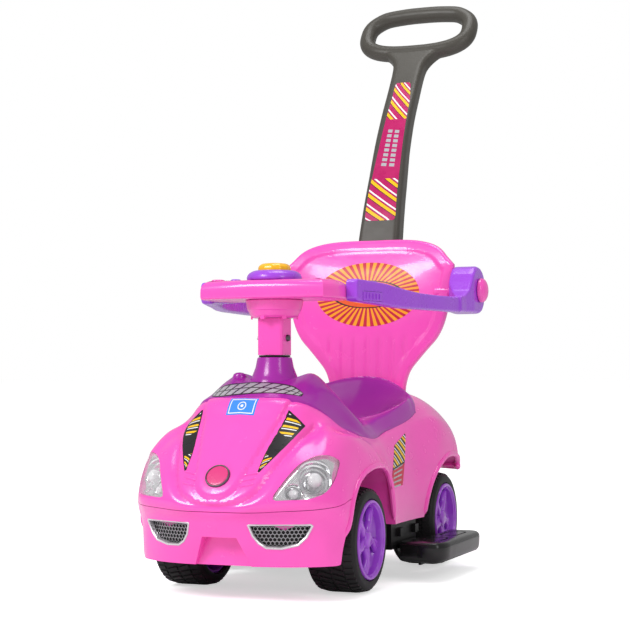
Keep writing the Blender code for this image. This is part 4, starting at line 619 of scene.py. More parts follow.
def patch(name, tree, outline, place, lift, material, step=0.0025, reach=None):
    """A film with a free outline, cut into small faces. place maps (u, v) to 3-D."""
    work = bmesh.new()
    ring = [work.verts.new((u, v, 0.0)) for u, v in outline]
    work.faces.new(ring)
    for axis in (0, 1):
        normal = [0.0, 0.0, 0.0]
        normal[axis] = 1.0
        level = min(p[axis] for p in outline) + step
        while level < max(p[axis] for p in outline):
            origin = [0.0, 0.0, 0.0]
            origin[axis] = level
            geometry = work.verts[:] + work.edges[:] + work.faces[:]
            bmesh.ops.bisect_plane(work, geom=geometry, plane_co=origin, plane_no=normal)
            level += step
    places = [(v.co.x, v.co.y) for v in work.verts]
    work.verts.index_update()
    faces = [tuple(v.index for v in face.verts) for face in work.faces]
    work.free()
    spots = [laid(tree, place(u, v), lift, reach) for u, v in places]
    return film(name, tree, spots, faces, places, material)


# The pink body, drawn in millimetres on the left half: rows from the nose over the top to the tail
BODY_ROWS = [
    [(0, -148, 40), (40, -147, 40), (78, -141, 40), (105, -130, 40), (127, -114, 40), (139, -98, 40),
     (146, -82, 40), (148, -70, 40)],
    [(0, -160, 72), (42, -157, 72), (82, -147, 72), (108, -134, 71), (128, -119, 68), (140, -101, 60),
     (147, -84, 50), (148, -66, 40)],
    [(0, -171, 104), (44, -166, 104), (86, -152, 104), (114, -136, 103), (131, -119, 101),
     (142, -100, 90), (148, -78, 70), (149, -50, 40)],
    [(0, -182, 128), (48, -178, 128), (92, -164, 130), (119, -148, 130), (136, -124, 127),
     (147, -100, 116), (150, -68, 88), (150, -30, 40)],
    [(0, -165, 160), (48, -160, 161), (88, -150, 163), (115, -136, 165), (134, -114, 163),
     (146, -84, 148), (150, -44, 108), (150, 0, 40)],
    [(0, -138, 190), (46, -132, 191), (80, -125, 190), (106, -117, 189), (127, -105, 188),
     (143, -66, 174), (150, -20, 128), (150, 28, 40)],
    [(0, -105, 228), (45, -98, 228), (74, -87, 226), (93, -76, 218), (118, -70, 213),
     (139, -34, 197), (150, 6, 148), (149, 54, 40)],
    [(0, -78, 257), (45, -75, 256), (72, -62, 251), (94, -42, 237), (114, -30, 217),
     (137, -2, 199), (149, 34, 152), (147, 78, 40)],
    [(0, -30, 258), (45, -26, 256), (76, -16, 244), (99, -8, 225), (121, -4, 210),
     (139, 24, 192), (148, 56, 148), (143, 98, 40)],
    [(0, 25, 250), (45, 30, 245), (80, 34, 230), (105, 38, 212), (124, 44, 203),
     (137, 58, 184), (144, 76, 140), (142, 112, 40)],
    [(0, 85, 220), (45, 86, 216), (80, 90, 210), (105, 92, 205), (121, 96, 201),
     (131, 102, 184), (138, 112, 138), (141, 135, 40)],
    [(0, 145, 200), (45, 145, 202), (80, 146, 206), (105, 147, 210), (121, 148, 208),
     (130, 150, 188), (137, 155, 140), (141, 168, 40)],
    [(0, 205, 206), (45, 205, 208), (80, 205, 213), (106, 205, 220), (123, 205, 217),
     (132, 206, 195), (138, 208, 143), (142, 212, 40)],
    [(0, 262, 222), (45, 262, 226), (78, 262, 234), (103, 262, 240), (123, 263, 228),
     (137, 262, 210), (144, 258, 155), (145, 252, 40)],
    [(0, 310, 244), (45, 310, 246), (78, 311, 250), (103, 313, 247), (126, 315, 232),
     (144, 312, 213), (149, 304, 160), (148, 295, 40)],
    [(0, 355, 262), (45, 355, 261), (78, 355, 257), (103, 358, 247), (128, 360, 227),
     (145, 358, 203), (150, 352, 155), (149, 345, 40)],
    [(0, 398, 262), (45, 398, 260), (78, 398, 252), (105, 398, 236), (129, 398, 212),
     (145, 394, 184), (149, 390, 140), (148, 385, 40)],
    [(0, 424, 240), (45, 423, 238), (78, 421, 230), (106, 418, 214), (129, 413, 190),
     (143, 408, 162), (147, 403, 120), (147, 396, 40)],
    [(0, 434, 190), (45, 433, 188), (80, 430, 180), (108, 425, 166), (130, 418, 148),
     (142, 412, 125), (146, 407, 92), (147.4, 400.5, 40)],
    [(0, 432, 40), (45, 431, 40), (80, 428, 40), (108, 423, 40), (130, 416, 40),
     (141, 411, 40), (145, 408, 40), (147, 405, 40)],
]

# The purple saddle, drawn the same way from its front lip to its rear rim
SADDLE_ROWS = [
    [(0, -78, 260), (32, -76, 260), (60, -68, 258), (78, -52, 252), (93, -34, 239), (107, -12, 220),
     (122, 20, 208)],
    [(0, -52, 270), (32, -48, 270), (58, -40, 268), (79, -24, 259), (96, -6, 241), (108, 12, 223),
     (122.5, 34, 206)],
    [(0, -15, 280), (32, -10, 281), (57, -2, 284), (79, 8, 270), (96, 18, 249), (109, 28, 229),
     (123, 46, 205)],
    [(0, 22, 284), (31, 24, 286), (55, 27, 290), (79, 31, 268), (97, 36, 247), (110, 44, 229),
     (123.5, 58, 204)],
    [(0, 60, 280), (30, 60, 278), (53, 60, 272), (76, 62, 252), (95, 66, 233), (108, 70, 222),
     (122, 78, 205)],
    [(0, 92, 260), (30, 92, 255), (54, 92, 246), (76, 94, 234), (93, 96, 227), (106, 98, 220),
     (120, 102, 206)],
    [(0, 130, 232), (30, 130, 228), (54, 130, 225), (76, 130, 226), (92, 130, 229), (106, 131, 226),
     (118, 132, 211)],
    [(0, 175, 218), (30, 175, 217), (56, 174, 218), (80, 173, 225), (100, 172, 234), (111, 172, 232),
     (120, 172, 218)],
    [(0, 225, 216), (30, 224, 216), (58, 222, 220), (84, 219, 232), (106, 216, 242), (115, 214, 238),
     (122, 212, 222)],
    [(0, 285, 225), (30, 281, 226), (58, 274, 230), (84, 264, 240), (107, 254, 250), (116, 248, 244),
     (122, 242, 227)],
    [(0, 338, 252), (30, 330, 252), (58, 314, 252), (84, 295, 253), (104, 278, 254), (114, 266, 247),
     (121, 256, 231)],
    [(0, 370, 280), (30, 360, 278), (58, 341, 271), (84, 316, 264), (103, 292, 258), (114, 275, 248),
     (120, 263, 234)],
    [(0, 384, 286), (30, 376, 283), (60, 354, 274), (86, 325, 263), (105, 298, 254), (115, 281, 245),
     (120, 270, 235)],
]


def drawn_surface(rows, row_steps, column_steps):
    """The whole surface, both sides, through the drawn rows, in metres."""
    across = np.array([smooth_line(row, column_steps) for row in rows])
    grid = np.array([smooth_line(across[:, j], row_steps) for j in range(across.shape[1])])
    grid = grid.transpose(1, 0, 2) * MM
    mirrored = grid[:, :0:-1].copy()
    mirrored[:, :, 0] *= -1
    return np.concatenate([mirrored, grid], axis=1)


BODY_STEPS = 6
COLUMN_STEPS = 4
HOOD_PANEL = [(0, 126.5), (12, 127), (31, 131), (45, 138), (56, 150), (65, 168), (77, 196), (89, 219),
              (99, 245), (110, 300)]
HOOD_CENTRE = [(0, 135), (10, 136.5), (21, 142), (29, 153), (35.5, 174), (42, 196), (50, 222), (58, 250),
               (66, 300)]
PANEL_RISE = 0.0030
CENTRE_RISE = 0.0022
CREASE = 0.0015
BODY_FLOOR_Z = 0.030
CORE_FLOOR_Z = 0.020


def mirrored_loop(half, steps):
    line = smooth_line(half, steps)
    return [(-a, b) for a, b in line[:0:-1]] + [(a, b) for a, b in line]


def hood_relief(grid):
    """How far the panels pressed into the hood stand proud at each point of the body."""
    flat = grid.reshape(-1, 3) / MM
    panel = depth_inside(flat[:, (0, 2)], mirrored_loop(HOOD_PANEL, 4))
    centre = depth_inside(flat[:, (0, 2)], mirrored_loop(HOOD_CENTRE, 4))
    rise = PANEL_RISE * (ease((panel + 2) / 5.0) - 1) + CENTRE_RISE * ease((centre + 2) / 4.6)
    for depth in (panel, centre):
        rise -= CREASE * np.exp(-((depth + 3.0) / 2.8) ** 2)
    near = ease((panel + 16) / 12)
    rise = rise + PANEL_RISE * (1 - near)
    rise *= (flat[:, 1] < -55) * ease((-62 - flat[:, 1]) / 8.0)
    return rise.reshape(grid.shape[:2])


smooth_body = drawn_surface(BODY_ROWS, BODY_STEPS, COLUMN_STEPS)
fine_rows = drawn_surface(BODY_ROWS, BODY_STEPS * 2, COLUMN_STEPS * 3)
body_grid = offset_grid(fine_rows, hood_relief(fine_rows))
coarse_body = drawn_surface(BODY_ROWS, 2, 1)
body = closed_cap("shell_body", body_grid, BODY_FLOOR_Z, (pink,))
SURFACE = tree_of(body)


def car(x, y, z):
    return Vector((x, y, z)) * MM


def arch_line(centre_y, points):
    """A wheel arch in side view: its drawn corners joined by a smooth curve, with straight legs."""
    legs = [points[0]]
    legs += [tuple(p) for p in smooth_line(points[1:-1], 5)]
    legs.append(points[-1])
    return [(centre_y + a * MM, TYRE_RADIUS + b * MM) for a, b in legs]


FRONT_ARCH = arch_line(0.0, [(-94, -120), (-98, -23), (-97, -6), (-92, 13), (-84, 40), (-70, 63),
                             (-50, 80), (-22, 92), (6, 97), (36, 97), (62, 94), (84, 87), (99, 76),
                             (108, 62), (113, 38), (117, 3), (119, -20), (119, -120)])
REAR_ARCH = arch_line(WHEELBASE, [(-104, -120), (-104, -4), (-98, 7), (-90, 23), (-80, 41), (-66, 59),
                                  (-48, 75), (-31, 85), (-5, 94), (18, 97), (44, 95), (62, 89), (74, 80),
                                  (80, 73), (170, 73), (170, -120)])
WELL_INNER_FRONT = 0.051
WELL_INNER_REAR = 0.066
WELL_WALL = 0.0028
BUMPER_BOTTOM_Z = 0.047
SILL_Z = 0.080
SEAM_LINE = [(-260, 112), (-180, 116.5), (-160, 119), (-120, 122), (-98, 126), (-80, 130), (-40, 131)]
GRILLE_FACE = (0.34, -0.92, -0.10)
GRILLE_OUTLINE = [(-43, 15), (-37, 0), (-29, -10), (-19, -16), (1, -16.5), (22, -12), (33, -2),
                  (41, 13), (38, 16), (-40, 16.5)]
GRILLE_PLACE = car(80, -150, 86)
GRILLE_DEPTH = 0.009
LAMP_FACE = (0.50, -0.76, 0.42)
LAMP_OUTLINE = [(-50, -28), (-30, -31), (-8, -31), (9, -26), (23, -16), (34, 0), (39, 12), (43, 25),
                (36, 29), (24, 30), (8, 28), (-10, 19), (-24, 6), (-38, -10)]
LAMP_PLACE = car(112, -132, 160)
LAMP_DEPTH = 0.028
LENS_WALL = 0.0022
EMBLEM_RADIUS = 0.0166
LIP_RADIUS = 0.0046
RIB_RADIUS = 0.0022
CUT_HALF = 0.3
CUT_LOW_Z = 0.2
CUT_HIGH_Z = 0.6
RECESS_OUTLINE = [(-24, 84), (24, 84), (39, 48), (39, 20), (-39, 20), (-39, 48)]
RECESS_BACK_Y = -0.145
POCKET_WALL = 0.0024


def axes_of(direction, sideways=(0.0, 0.0, 1.0)):
    """Right, up and outward axes of a slanted face."""
    w = Vector(direction).normalized()
    v = (Vector(sideways) - w * w.dot(Vector(sideways))).normalized()
    return v.cross(w), v, w


def poke(name, outline, centre, direction, low, high, materials=()):
    """An outline stretched along a slanted direction, from low to high along it."""
    u, v, w = axes_of(direction)
    sections = [[centre + u * a + v * b + w * level for a, b in outline] for level in (low, high)]
    return loft(name, sections, materials)


def pair_of(item):
    """The item and its mirror image as one cutter."""
    twin = mirror_of(item, item.name + "_twin")
    return merge(item, twin)


def well_cutter(outline, inner_x, wall):
    grown = grow(counterclockwise(outline), wall) if wall else outline
    return pair_of(prism("well", grown, "X", inner_x - wall, HALF_WIDTH + 0.05))


LAMP_LINE = counterclockwise([tuple(p * MM) for p in smooth_loop(LAMP_OUTLINE, 3)])
GRILLE_LINE = counterclockwise([(a * MM, b * MM) for a, b in GRILLE_OUTLINE])


def lamp_prism(name, grown, low, high, materials=()):
    return poke(name, grow(LAMP_LINE, grown), LAMP_PLACE, LAMP_FACE, low, high, materials)


def grille_prism(name, grown, materials=()):
    return poke(name, grow(GRILLE_LINE, grown), GRILLE_PLACE, GRILLE_FACE, -0.040, 0.040, materials)


def recess_prism(grown):
    outline = grow(counterclockwise([(a * MM, b * MM) for a, b in RECESS_OUTLINE]), grown)
    return prism("recess", outline, "Y", -0.4, RECESS_BACK_Y + grown)


def body_cap(name, depth, grid=coarse_body):
    """The body's solid shape, shrunk inwards by a depth."""
    return closed_cap(name, offset_grid(grid, -depth) if depth else grid, BODY_FLOOR_Z - depth)


def across_car(name, outline, half=CUT_HALF):
    """A cutter with an outline in side view, as wide as the car or to a half width."""
    return prism(name, outline, "X", -half, half)


core = closed_cap("core", offset_grid(drawn_surface(BODY_ROWS, 1, 1), -SHELL - 0.0010), CORE_FLOOR_Z)
cut(body, well_cutter(FRONT_ARCH, WELL_INNER_FRONT, 0.0))
cut(body, well_cutter(REAR_ARCH, WELL_INNER_REAR, 0.0))
under = [(-0.4, -0.1), (0.8, -0.1), (0.8, SILL_Z), (-0.090, SILL_Z), (-0.090, BUMPER_BOTTOM_Z),
         (-0.4, BUMPER_BOTTOM_Z)]
cut(body, across_car("under", under))
cut(core, well_cutter(FRONT_ARCH, WELL_INNER_FRONT, WELL_WALL))
cut(core, well_cutter(REAR_ARCH, WELL_INNER_REAR, WELL_WALL))
cut(body, pair_of(lamp_prism("lamp", 0.0, -LAMP_DEPTH, 0.060)))
cut(core, pair_of(lamp_prism("lamp", POCKET_WALL, -LAMP_DEPTH - POCKET_WALL, 0.060)))
cut(body, pair_of(cut(grille_prism("grille", 0.0), body_cap("deep", GRILLE_DEPTH))))
cut(core, pair_of(cut(grille_prism("grille", POCKET_WALL),
                      body_cap("deep", GRILLE_DEPTH + POCKET_WALL))))
cut(body, recess_prism(0.0))
cut(core, recess_prism(POCKET_WALL))
cut(body, core)

# The saddle drops into an opening of the body, and the backrest's neck stands in a slot
SADDLE_STEPS = 6
coarse_saddle = drawn_surface(SADDLE_ROWS, 2, 1)
last = coarse_saddle.shape[1] - 1
footprint = [tuple(p[:2]) for p in coarse_saddle[0]]
footprint += [tuple(p[:2]) for p in coarse_saddle[1:, last]]
footprint += [tuple(p[:2]) for p in coarse_saddle[-1, ::-1][1:]]
footprint += [tuple(p[:2]) for p in coarse_saddle[::-1, 0][1:-1]]
footprint = counterclockwise(footprint)
cut(body, prism("opening", grow(footprint, GAP), "Z", SKIRT_Z - 0.002, CUT_HIGH_Z))
NECK_HALF = 0.062
NECK_FLARE = 0.068
NECK_FLARE_Z = 0.250
NECK_DEPTH = 0.0085
neck_slot = [(NECK_HALF + GAP, CUT_LOW_Z), (NECK_HALF + GAP, NECK_FLARE_Z),
             (NECK_FLARE + GAP, NECK_FLARE_Z), (NECK_FLARE + GAP, 0.4)]
neck_slot += [(-x, z) for x, z in neck_slot[::-1]]
cut(body, prism("neck", neck_slot, "Y", BACK_Y - NECK_DEPTH - GAP - 0.006, BACK_Y + NECK_DEPTH + GAP))
WINDOW = [(-0.022, 0.05), (0.064, 0.05), (0.064, 0.1065), (-0.022, 0.1065)]
cut(body, across_car("window", WINDOW, 0.075))

# The bumper is the part of the moulding under a seam
SEAM_GAP = 0.0008
seam = [(a * MM, b * MM) for a, b in smooth_line(SEAM_LINE, 4)] + [(-0.040, 0.0), (-0.260, 0.0)]
seam = counterclockwise(seam)
bumper = copy_of(body, "front_bumper_shell")
meet(bumper, across_car("seam", grow(seam, -SEAM_GAP / 2)))
cut(body, across_car("seam", grow(seam, SEAM_GAP / 2)))
keep_largest(body)
keep_largest(bumper)


def lip_of(name, outline, low_z, radius):
    """A rolled bead along the edge of a wheel arch."""
    path = []
    normals = []
    for y, z in outline:
        spot, normal, _, _ = SURFACE.ray_cast(Vector((CUT_HALF, y, z)), Vector((-1, 0, 0)))
        if z > low_z and spot is not None:
            path.append(spot)
            normals.append(normal)
    return bead(name, path, radius, normals, (pink,), 10)


lips = [lip_of("lip", arch, SILL_Z, LIP_RADIUS) for arch in (FRONT_ARCH, REAR_ARCH)]
lips += [mirror_of(item, "lip_twin") for item in lips]


def surface_path(points, count):
    """Places on the body's surface along a line of drawn millimetres, with their normals."""
    line = smooth_line(points, max(1, count // (len(points) - 1)))
    path = []
    normals = []
    for p in line:
        spot, normal, _, _ = SURFACE.find_nearest(Vector(p) * MM)
        path.append(spot)
        normals.append(normal)
    return path, normals


RIBS = [((-50, -165, 152), (-30, -171, 150)), ((-51, -160, 159), (-31, -166, 157)),
        ((-53, -155, 166), (-34, -160, 164))]
ribs = []
for start, end in RIBS:
    for sign in (1, -1):
        path, normals = surface_path([(sign * start[0], *start[1:]), (sign * end[0], *end[1:])], 12)
        ribs.append(bead("rib", path, RIB_RADIUS, normals, (pink,), 10, 0.40))
merge(body, *lips, *ribs)
finish(body, "car", ("body_shell",))
corner_y = max(v.co.y for v in bumper.data.vertices if v.co.z < 0.049)
corner_z = min(v.co.z for v in bumper.data.vertices)
CORNER = 0.014
CORNER_OUT = 0.006
corner = [(corner_y + CORNER_OUT, corner_z - CORNER_OUT), (corner_y - CORNER, corner_z - CORNER_OUT),
          (corner_y - CORNER, corner_z)]
for k in range(1, 9):
    turn = math.pi / 2 * k / 8
    corner.append((corner_y - CORNER + CORNER * math.sin(turn),
                   corner_z + CORNER - CORNER * math.cos(turn)))
corner.append((corner_y + CORNER_OUT, corner_z + CORNER))
cut(bumper, across_car("corner", corner))
finish(bumper, "car", ("front_bumper",))

# The saddle, with its cone and a duller, rougher dish; the dish's darker colour is painted shade
saddle_grid = drawn_surface(SADDLE_ROWS, SADDLE_STEPS, SADDLE_STEPS)
# Faces of the dish get the darker purple, which is painted shade on the cowl's plastic
marks = []
mid_column = (saddle_grid.shape[1] - 1) / 2
for i in range(saddle_grid.shape[0] - 1):
    for j in range(saddle_grid.shape[1] - 1):
        row = (i + 0.5) / SADDLE_STEPS
        column = abs(j + 0.5 - mid_column) / SADDLE_STEPS
        edge = np.interp(row, (3.6, 4.3, 6, 8, 10, 11.4, 12), (1.5, 3.0, 3.9, 4.1, 4.1, 4.0, 3.8))
        marks.append(1 if 3.6 < row < 11.7 and column < edge else 0)
saddle = closed_cap("saddle_shell", saddle_grid, SKIRT_Z, (cowl_purple, shaded_dish_purple), marks)
SADDLE_SURFACE = tree_of(saddle)
hollow_grid = offset_grid(drawn_surface(SADDLE_ROWS, 1, 1), -SHELL - 0.0006)
hollow = closed_cap("hollow", hollow_grid, SKIRT_Z - 0.01)
meet(hollow, prism("inside", grow(footprint, -SHELL), "Z", SKIRT_Z - 0.02, CUT_HIGH_Z))
cut(saddle, hollow)
CONE_BASE_Z = 0.282
CONE_TOP_Z = CONE_BASE_Z + CONE_HEIGHT
CONE_FOOT = ((-SHELL, -0.010), (0.004, -0.010), (0.003, -0.002), (-0.001, 0.003), (-0.0035, 0.009))
cone_profile = [(CONE_BASE_RADIUS + r, CONE_BASE_Z + h) for r, h in CONE_FOOT]
cone_profile += [(CONE_TOP_RADIUS + 0.0032, CONE_BASE_Z + 0.017),
                 (CONE_TOP_RADIUS + 0.0012, CONE_TOP_Z - 0.004),
                 (CONE_TOP_RADIUS + 0.0004, CONE_TOP_Z - 0.0008),
                 (CONE_TOP_RADIUS - 0.0006, CONE_TOP_Z), (CONE_TOP_RADIUS - SHELL, CONE_TOP_Z)]
cone = turned("cone", cone_profile, 64, (0, COLUMN_Y, 0), "Z", (cowl_purple,), ring=True)
BUMP_PLACE = (-0.048, 0.006, 0.286)
knob_profile = [(0.0098, -0.012), (0.0094, 0.001), (0.0080, 0.0042), (0.0050, 0.0060), (0.0, 0.0066)]
nub = turned("nub", knob_profile, 32, BUMP_PLACE, "Z", (cowl_purple,))
merge(saddle, cone, nub)
finish(saddle, "car", ("seat_saddle",))

# Lamps: a chromed cup with stepped bowls, a frosted bulb and a faceted side lamp under a clear lens
LAMP_RIGHT, LAMP_UP, LAMP_OUT = axes_of(LAMP_FACE)
MAIN_BOWL = LAMP_PLACE + LAMP_RIGHT * 0.008 - LAMP_OUT * 0.010
SIDE_BOWL = LAMP_PLACE - LAMP_RIGHT * 0.021 - LAMP_UP * 0.018 - LAMP_OUT * 0.009
BOWL = [(0.0, -0.0165), (0.0090, -0.0150), (0.0120, -0.0118), (0.0140, -0.0112), (0.0160, -0.0078),
        (0.0180, -0.0070), (0.0198, -0.0030), (0.0216, -0.0020), (0.0230, 0.0030), (0.0244, 0.0040),
        (0.0255, 0.060), (0.0, 0.060)]


def aim(item, centre, direction):
    """Turns an item made along Z to a direction and moves it to a centre."""
    turn = Vector((0, 0, 1)).rotation_difference(Vector(direction)).to_matrix().to_4x4()
    item.data.transform(Matrix.Translation(centre) @ turn)
    return item


lens = lamp_prism("lens_left", -GAP, -LAMP_DEPTH + 0.004, 0.050, (clear,))
meet(lens, body_cap("face", 0.0, smooth_body))
cut(lens, body_cap("face", LENS_WALL, smooth_body))
cup = lamp_prism("reflector_left", -GAP * 1.5, -LAMP_DEPTH + GAP, 0.050, (chrome,))
meet(cup, body_cap("face", LENS_WALL + 0.0028, smooth_body))
cut(cup, aim(turned("bowl", BOWL, 48, (0, 0, 0)), MAIN_BOWL, LAMP_OUT))
small = [(r * 0.52, h * 0.7 if h < 0.04 else h) for r, h in BOWL]
cut(cup, aim(turned("bowl", small, 12, (0, 0, 0)), SIDE_BOWL, LAMP_OUT))
LAMP_EDGE = 0.0032
cut(cup, lamp_prism("edge", -LAMP_EDGE, -0.006, 0.050))
bulb_profile = rounded([(0, -0.0158), (0.0040, -0.0150), (0.0046, -0.0090), (0.0085, -0.0062),
                        (0.0096, 0.0000), (0.0080, 0.0058), (0.0040, 0.0082), (0.0, 0.0086)], 0.003, 3)
bulb = aim(turned("bulb_left", bulb_profile, 40, (0, 0, 0), "Z", (bulb_white,)), MAIN_BOWL, LAMP_OUT)
facet_profile = [(0.0, -0.008), (0.0045, -0.007), (0.0066, -0.003), (0.0060, 0.0012), (0.0034, 0.0040),
                 (0.0, 0.0046)]
facet = aim(turned("facet", facet_profile, 8, (0, 0, 0), "Z", (bulb_white,)), SIDE_BOWL, LAMP_OUT)
merge(cup, facet)
finish_pair(lens, "car", "headlight_lens", 40.0)
finish_pair(cup, "car", "headlight_reflector", 20.0)
finish_pair(bulb, "car", "headlight_bulb", 40.0)

# Grilles: a raised frame round a sheet with hexagonal holes, and a black sheet of painted shade behind
# it
GRILLE_RIGHT, GRILLE_UP, GRILLE_OUT = axes_of(GRILLE_FACE)
GRILLE_REACH = 0.08
HOLE_PITCH = 0.0054
HOLE_RADIUS = 0.0026
HOLE_DEPTH = 0.0014
SHADE_SHEET_DEPTH = 0.0022


def on_face(surface, u, v, out=0.0):
    """A place of the grille's face on a surface, moved outwards."""
    start = GRILLE_PLACE + GRILLE_RIGHT * u + GRILLE_UP * v + GRILLE_OUT * GRILLE_REACH
    spot, _, _, _ = surface.ray_cast(start, -GRILLE_OUT)
    return (spot if spot is not None else start - GRILLE_OUT * GRILLE_REACH) + GRILLE_OUT * out


TRIM = ((0.0, -0.0060), (0.0, 0.0004), (-0.0006, 0.0011), (-0.0018, 0.0011), (-0.0028, 0.0002),
        (-0.0032, -0.0060))
trim_lines = [[on_face(SURFACE, u, v, out) for u, v in grow(GRILLE_LINE, inset)] for inset, out in TRIM]
sections = [list(section) for section in zip(*trim_lines)]
frame_ring = loft("grille_trim_left", sections + sections[:1], (trim_silver,), capped=False)
MESH_SURFACE = tree_of(body_cap("mesh_level", 0.0050, smooth_body))
bpy.data.objects.remove(bpy.data.objects["mesh_level"], do_unlink=True)


def hexagon(radius, u, v):
    return [(u + radius * math.sin(math.radians(60 * k)), v + radius * math.cos(math.radians(60 * k)))
            for k in range(6)]


inner_line = grow(GRILLE_LINE, -0.0028)
cells = []
for row in range(-5, 6):
    for column in range(-12, 13):
        u = (column + 0.5 * (row % 2)) * HOLE_PITCH
        v = row * HOLE_PITCH * math.sqrt(3) / 2
        if depth_inside([(u, v)], inner_line)[0] > 0:
            cells.append((u, v))
verts = []
faces = []
for u, v in cells:
    base = len(verts)
    outer = hexagon(HOLE_PITCH / math.sqrt(3) + 0.00002, u, v)
    inner = hexagon(HOLE_RADIUS, u, v)
    for ring, out in ((outer, 0.0), (inner, 0.0), (inner, -HOLE_DEPTH)):
        verts += [on_face(MESH_SURFACE, a, b, out) for a, b in ring]
    for k in range(6):
        m = (k + 1) % 6
        faces.append((base + k, base + m, base + 6 + m, base + 6 + k))
        faces.append((base + 6 + k, base + 6 + m, base + 12 + m, base + 12 + k))
mesh_sheet = bpy.data.meshes.new("mesh_sheet")
mesh_sheet.from_pydata([tuple(v) for v in verts], [], faces)
mesh_sheet.materials.append(silver)
honeycomb = place_object("honeycomb", mesh_sheet)
if mesh_sheet.polygons[0].normal.dot(GRILLE_OUT) < 0:
    mesh_sheet.flip_normals()
# A black sheet behind the holes: painted shade
shade_sheet_verts = [on_face(MESH_SURFACE, a, b, -SHADE_SHEET_DEPTH)
              for a, b in grow(GRILLE_LINE, -0.0012) + [(0.0, 0.0)]]
count = len(GRILLE_LINE)
shade_sheet_faces = [(k, (k + 1) % count, count) for k in range(count)]
merge(frame_ring, honeycomb, mesh_object("painted_shade_sheet", shade_sheet_verts, shade_sheet_faces, (painted_shade_black,)))
finish_pair(frame_ring, "car", "grille", 30)

# Round emblem
emblem_spot, emblem_normal, _, _ = SURFACE.ray_cast(Vector((0, -0.1665, 1.0)), Vector((0, 0, -1)))
emblem_tilt = Vector((0.0, emblem_normal.y, emblem_normal.z))
disc_profile = rounded([(0, -0.0040), (0.0148, -0.0040), (0.0148, 0.0009), (0.0132, 0.0016),
                        (0.0, 0.0020)], 0.0012, 3)
disc = turned("emblem_plate", disc_profile, 56, (0, 0, 0), "Z", (deep_pink,))
rim_profile = rounded([(0.0146, -0.0040), (0.0146, 0.0014), (0.0154, 0.0021),
                       (EMBLEM_RADIUS - 0.0004, 0.0017), (EMBLEM_RADIUS, 0.0004),
                       (EMBLEM_RADIUS, -0.0040)], 0.0005, 3)
merge(disc, turned("rim", rim_profile, 56, (0, 0, 0), "Z", (dark_steel,), ring=True))
aim(disc, emblem_spot, emblem_tilt)
finish(disc, "car", ("emblem_disc",))

# Wheels, made at the left front wheel's centre and then copied
HALF_TYRE = TYRE_WIDTH / 2
CROWN = TYRE_RADIUS - 0.0018
TREAD_PITCHES = 44
BLOCK_SHARE = 0.68


def wheel_point(x, angle, radius):
    return (x, radius * math.cos(angle), radius * math.sin(angle))


def tread_block(x_low, x_high, start, end, low_top, high_top, skew=0.0):
    """One raised block of tread, chamfered at its top."""
    verts = []
    for level, inset in ((0, 0.0), (1, 0.0007)):
        for x, top, slant in ((x_low, low_top, -skew), (x_high, high_top, skew)):
            for angle, sign in ((start, 1), (end, -1)):
                radius = top if level else top - 0.0030
                turn = angle + slant + sign * inset / TYRE_RADIUS
                verts.append(wheel_point(x + (inset if x == x_low else -inset), turn, radius))
    faces = [(0, 1, 3, 2), (4, 5, 7, 6), (0, 1, 5, 4), (2, 3, 7, 6), (0, 2, 6, 4), (1, 3, 7, 5)]
    return verts, faces


def make_tyre():
    half = [(RIM_RADIUS, HALF_TYRE - 0.003), (0.0548, HALF_TYRE - 0.0012), (0.0572, HALF_TYRE - 0.0008),
            (0.0590, HALF_TYRE - 0.0014), (0.0612, HALF_TYRE - 0.0012), (0.0640, HALF_TYRE - 0.0024),
            (0.0660, HALF_TYRE - 0.0052), (0.0672, HALF_TYRE - 0.0090), (CROWN, HALF_TYRE - 0.0160)]
    profile = [(r, -x) for r, x in half] + [(r, x) for r, x in half[::-1]]
    tyre = turned("tyre_body", profile, 96, (0, 0, 0), "X", (tyre_black,), ring=True)
    verts = []
    faces = []
    pitch = 2 * math.pi / TREAD_PITCHES
    rows = ((-0.0176, -0.0012, 0.0, TYRE_RADIUS, TYRE_RADIUS, 0.035),
            (0.0012, 0.0176, 0.5, TYRE_RADIUS, TYRE_RADIUS, 0.035),
            (HALF_TYRE - 0.0172, HALF_TYRE - 0.0048, 0.25, TYRE_RADIUS - 0.0002, 0.0676, 0.0),
            (-HALF_TYRE + 0.0048, -HALF_TYRE + 0.0172, 0.75, 0.0676, TYRE_RADIUS - 0.0002, 0.0))
    for x_low, x_high, shift, low_top, high_top, skew in rows:
        for k in range(TREAD_PITCHES):
            start = (k + shift) * pitch
            block, sides = tread_block(x_low, x_high, start, start + pitch * BLOCK_SHARE, low_top,
                                       high_top, skew)
            base = len(verts)
            verts += block
            faces += [tuple(base + v for v in face) for face in sides]
    return merge(tyre, mesh_object("tread", verts, faces, (tyre_black,)))


RIM_OUTER = RIM_RADIUS - GAP
RIM_FACE = HALF_TYRE + 0.0007
DISC_X = HALF_TYRE - 0.0185


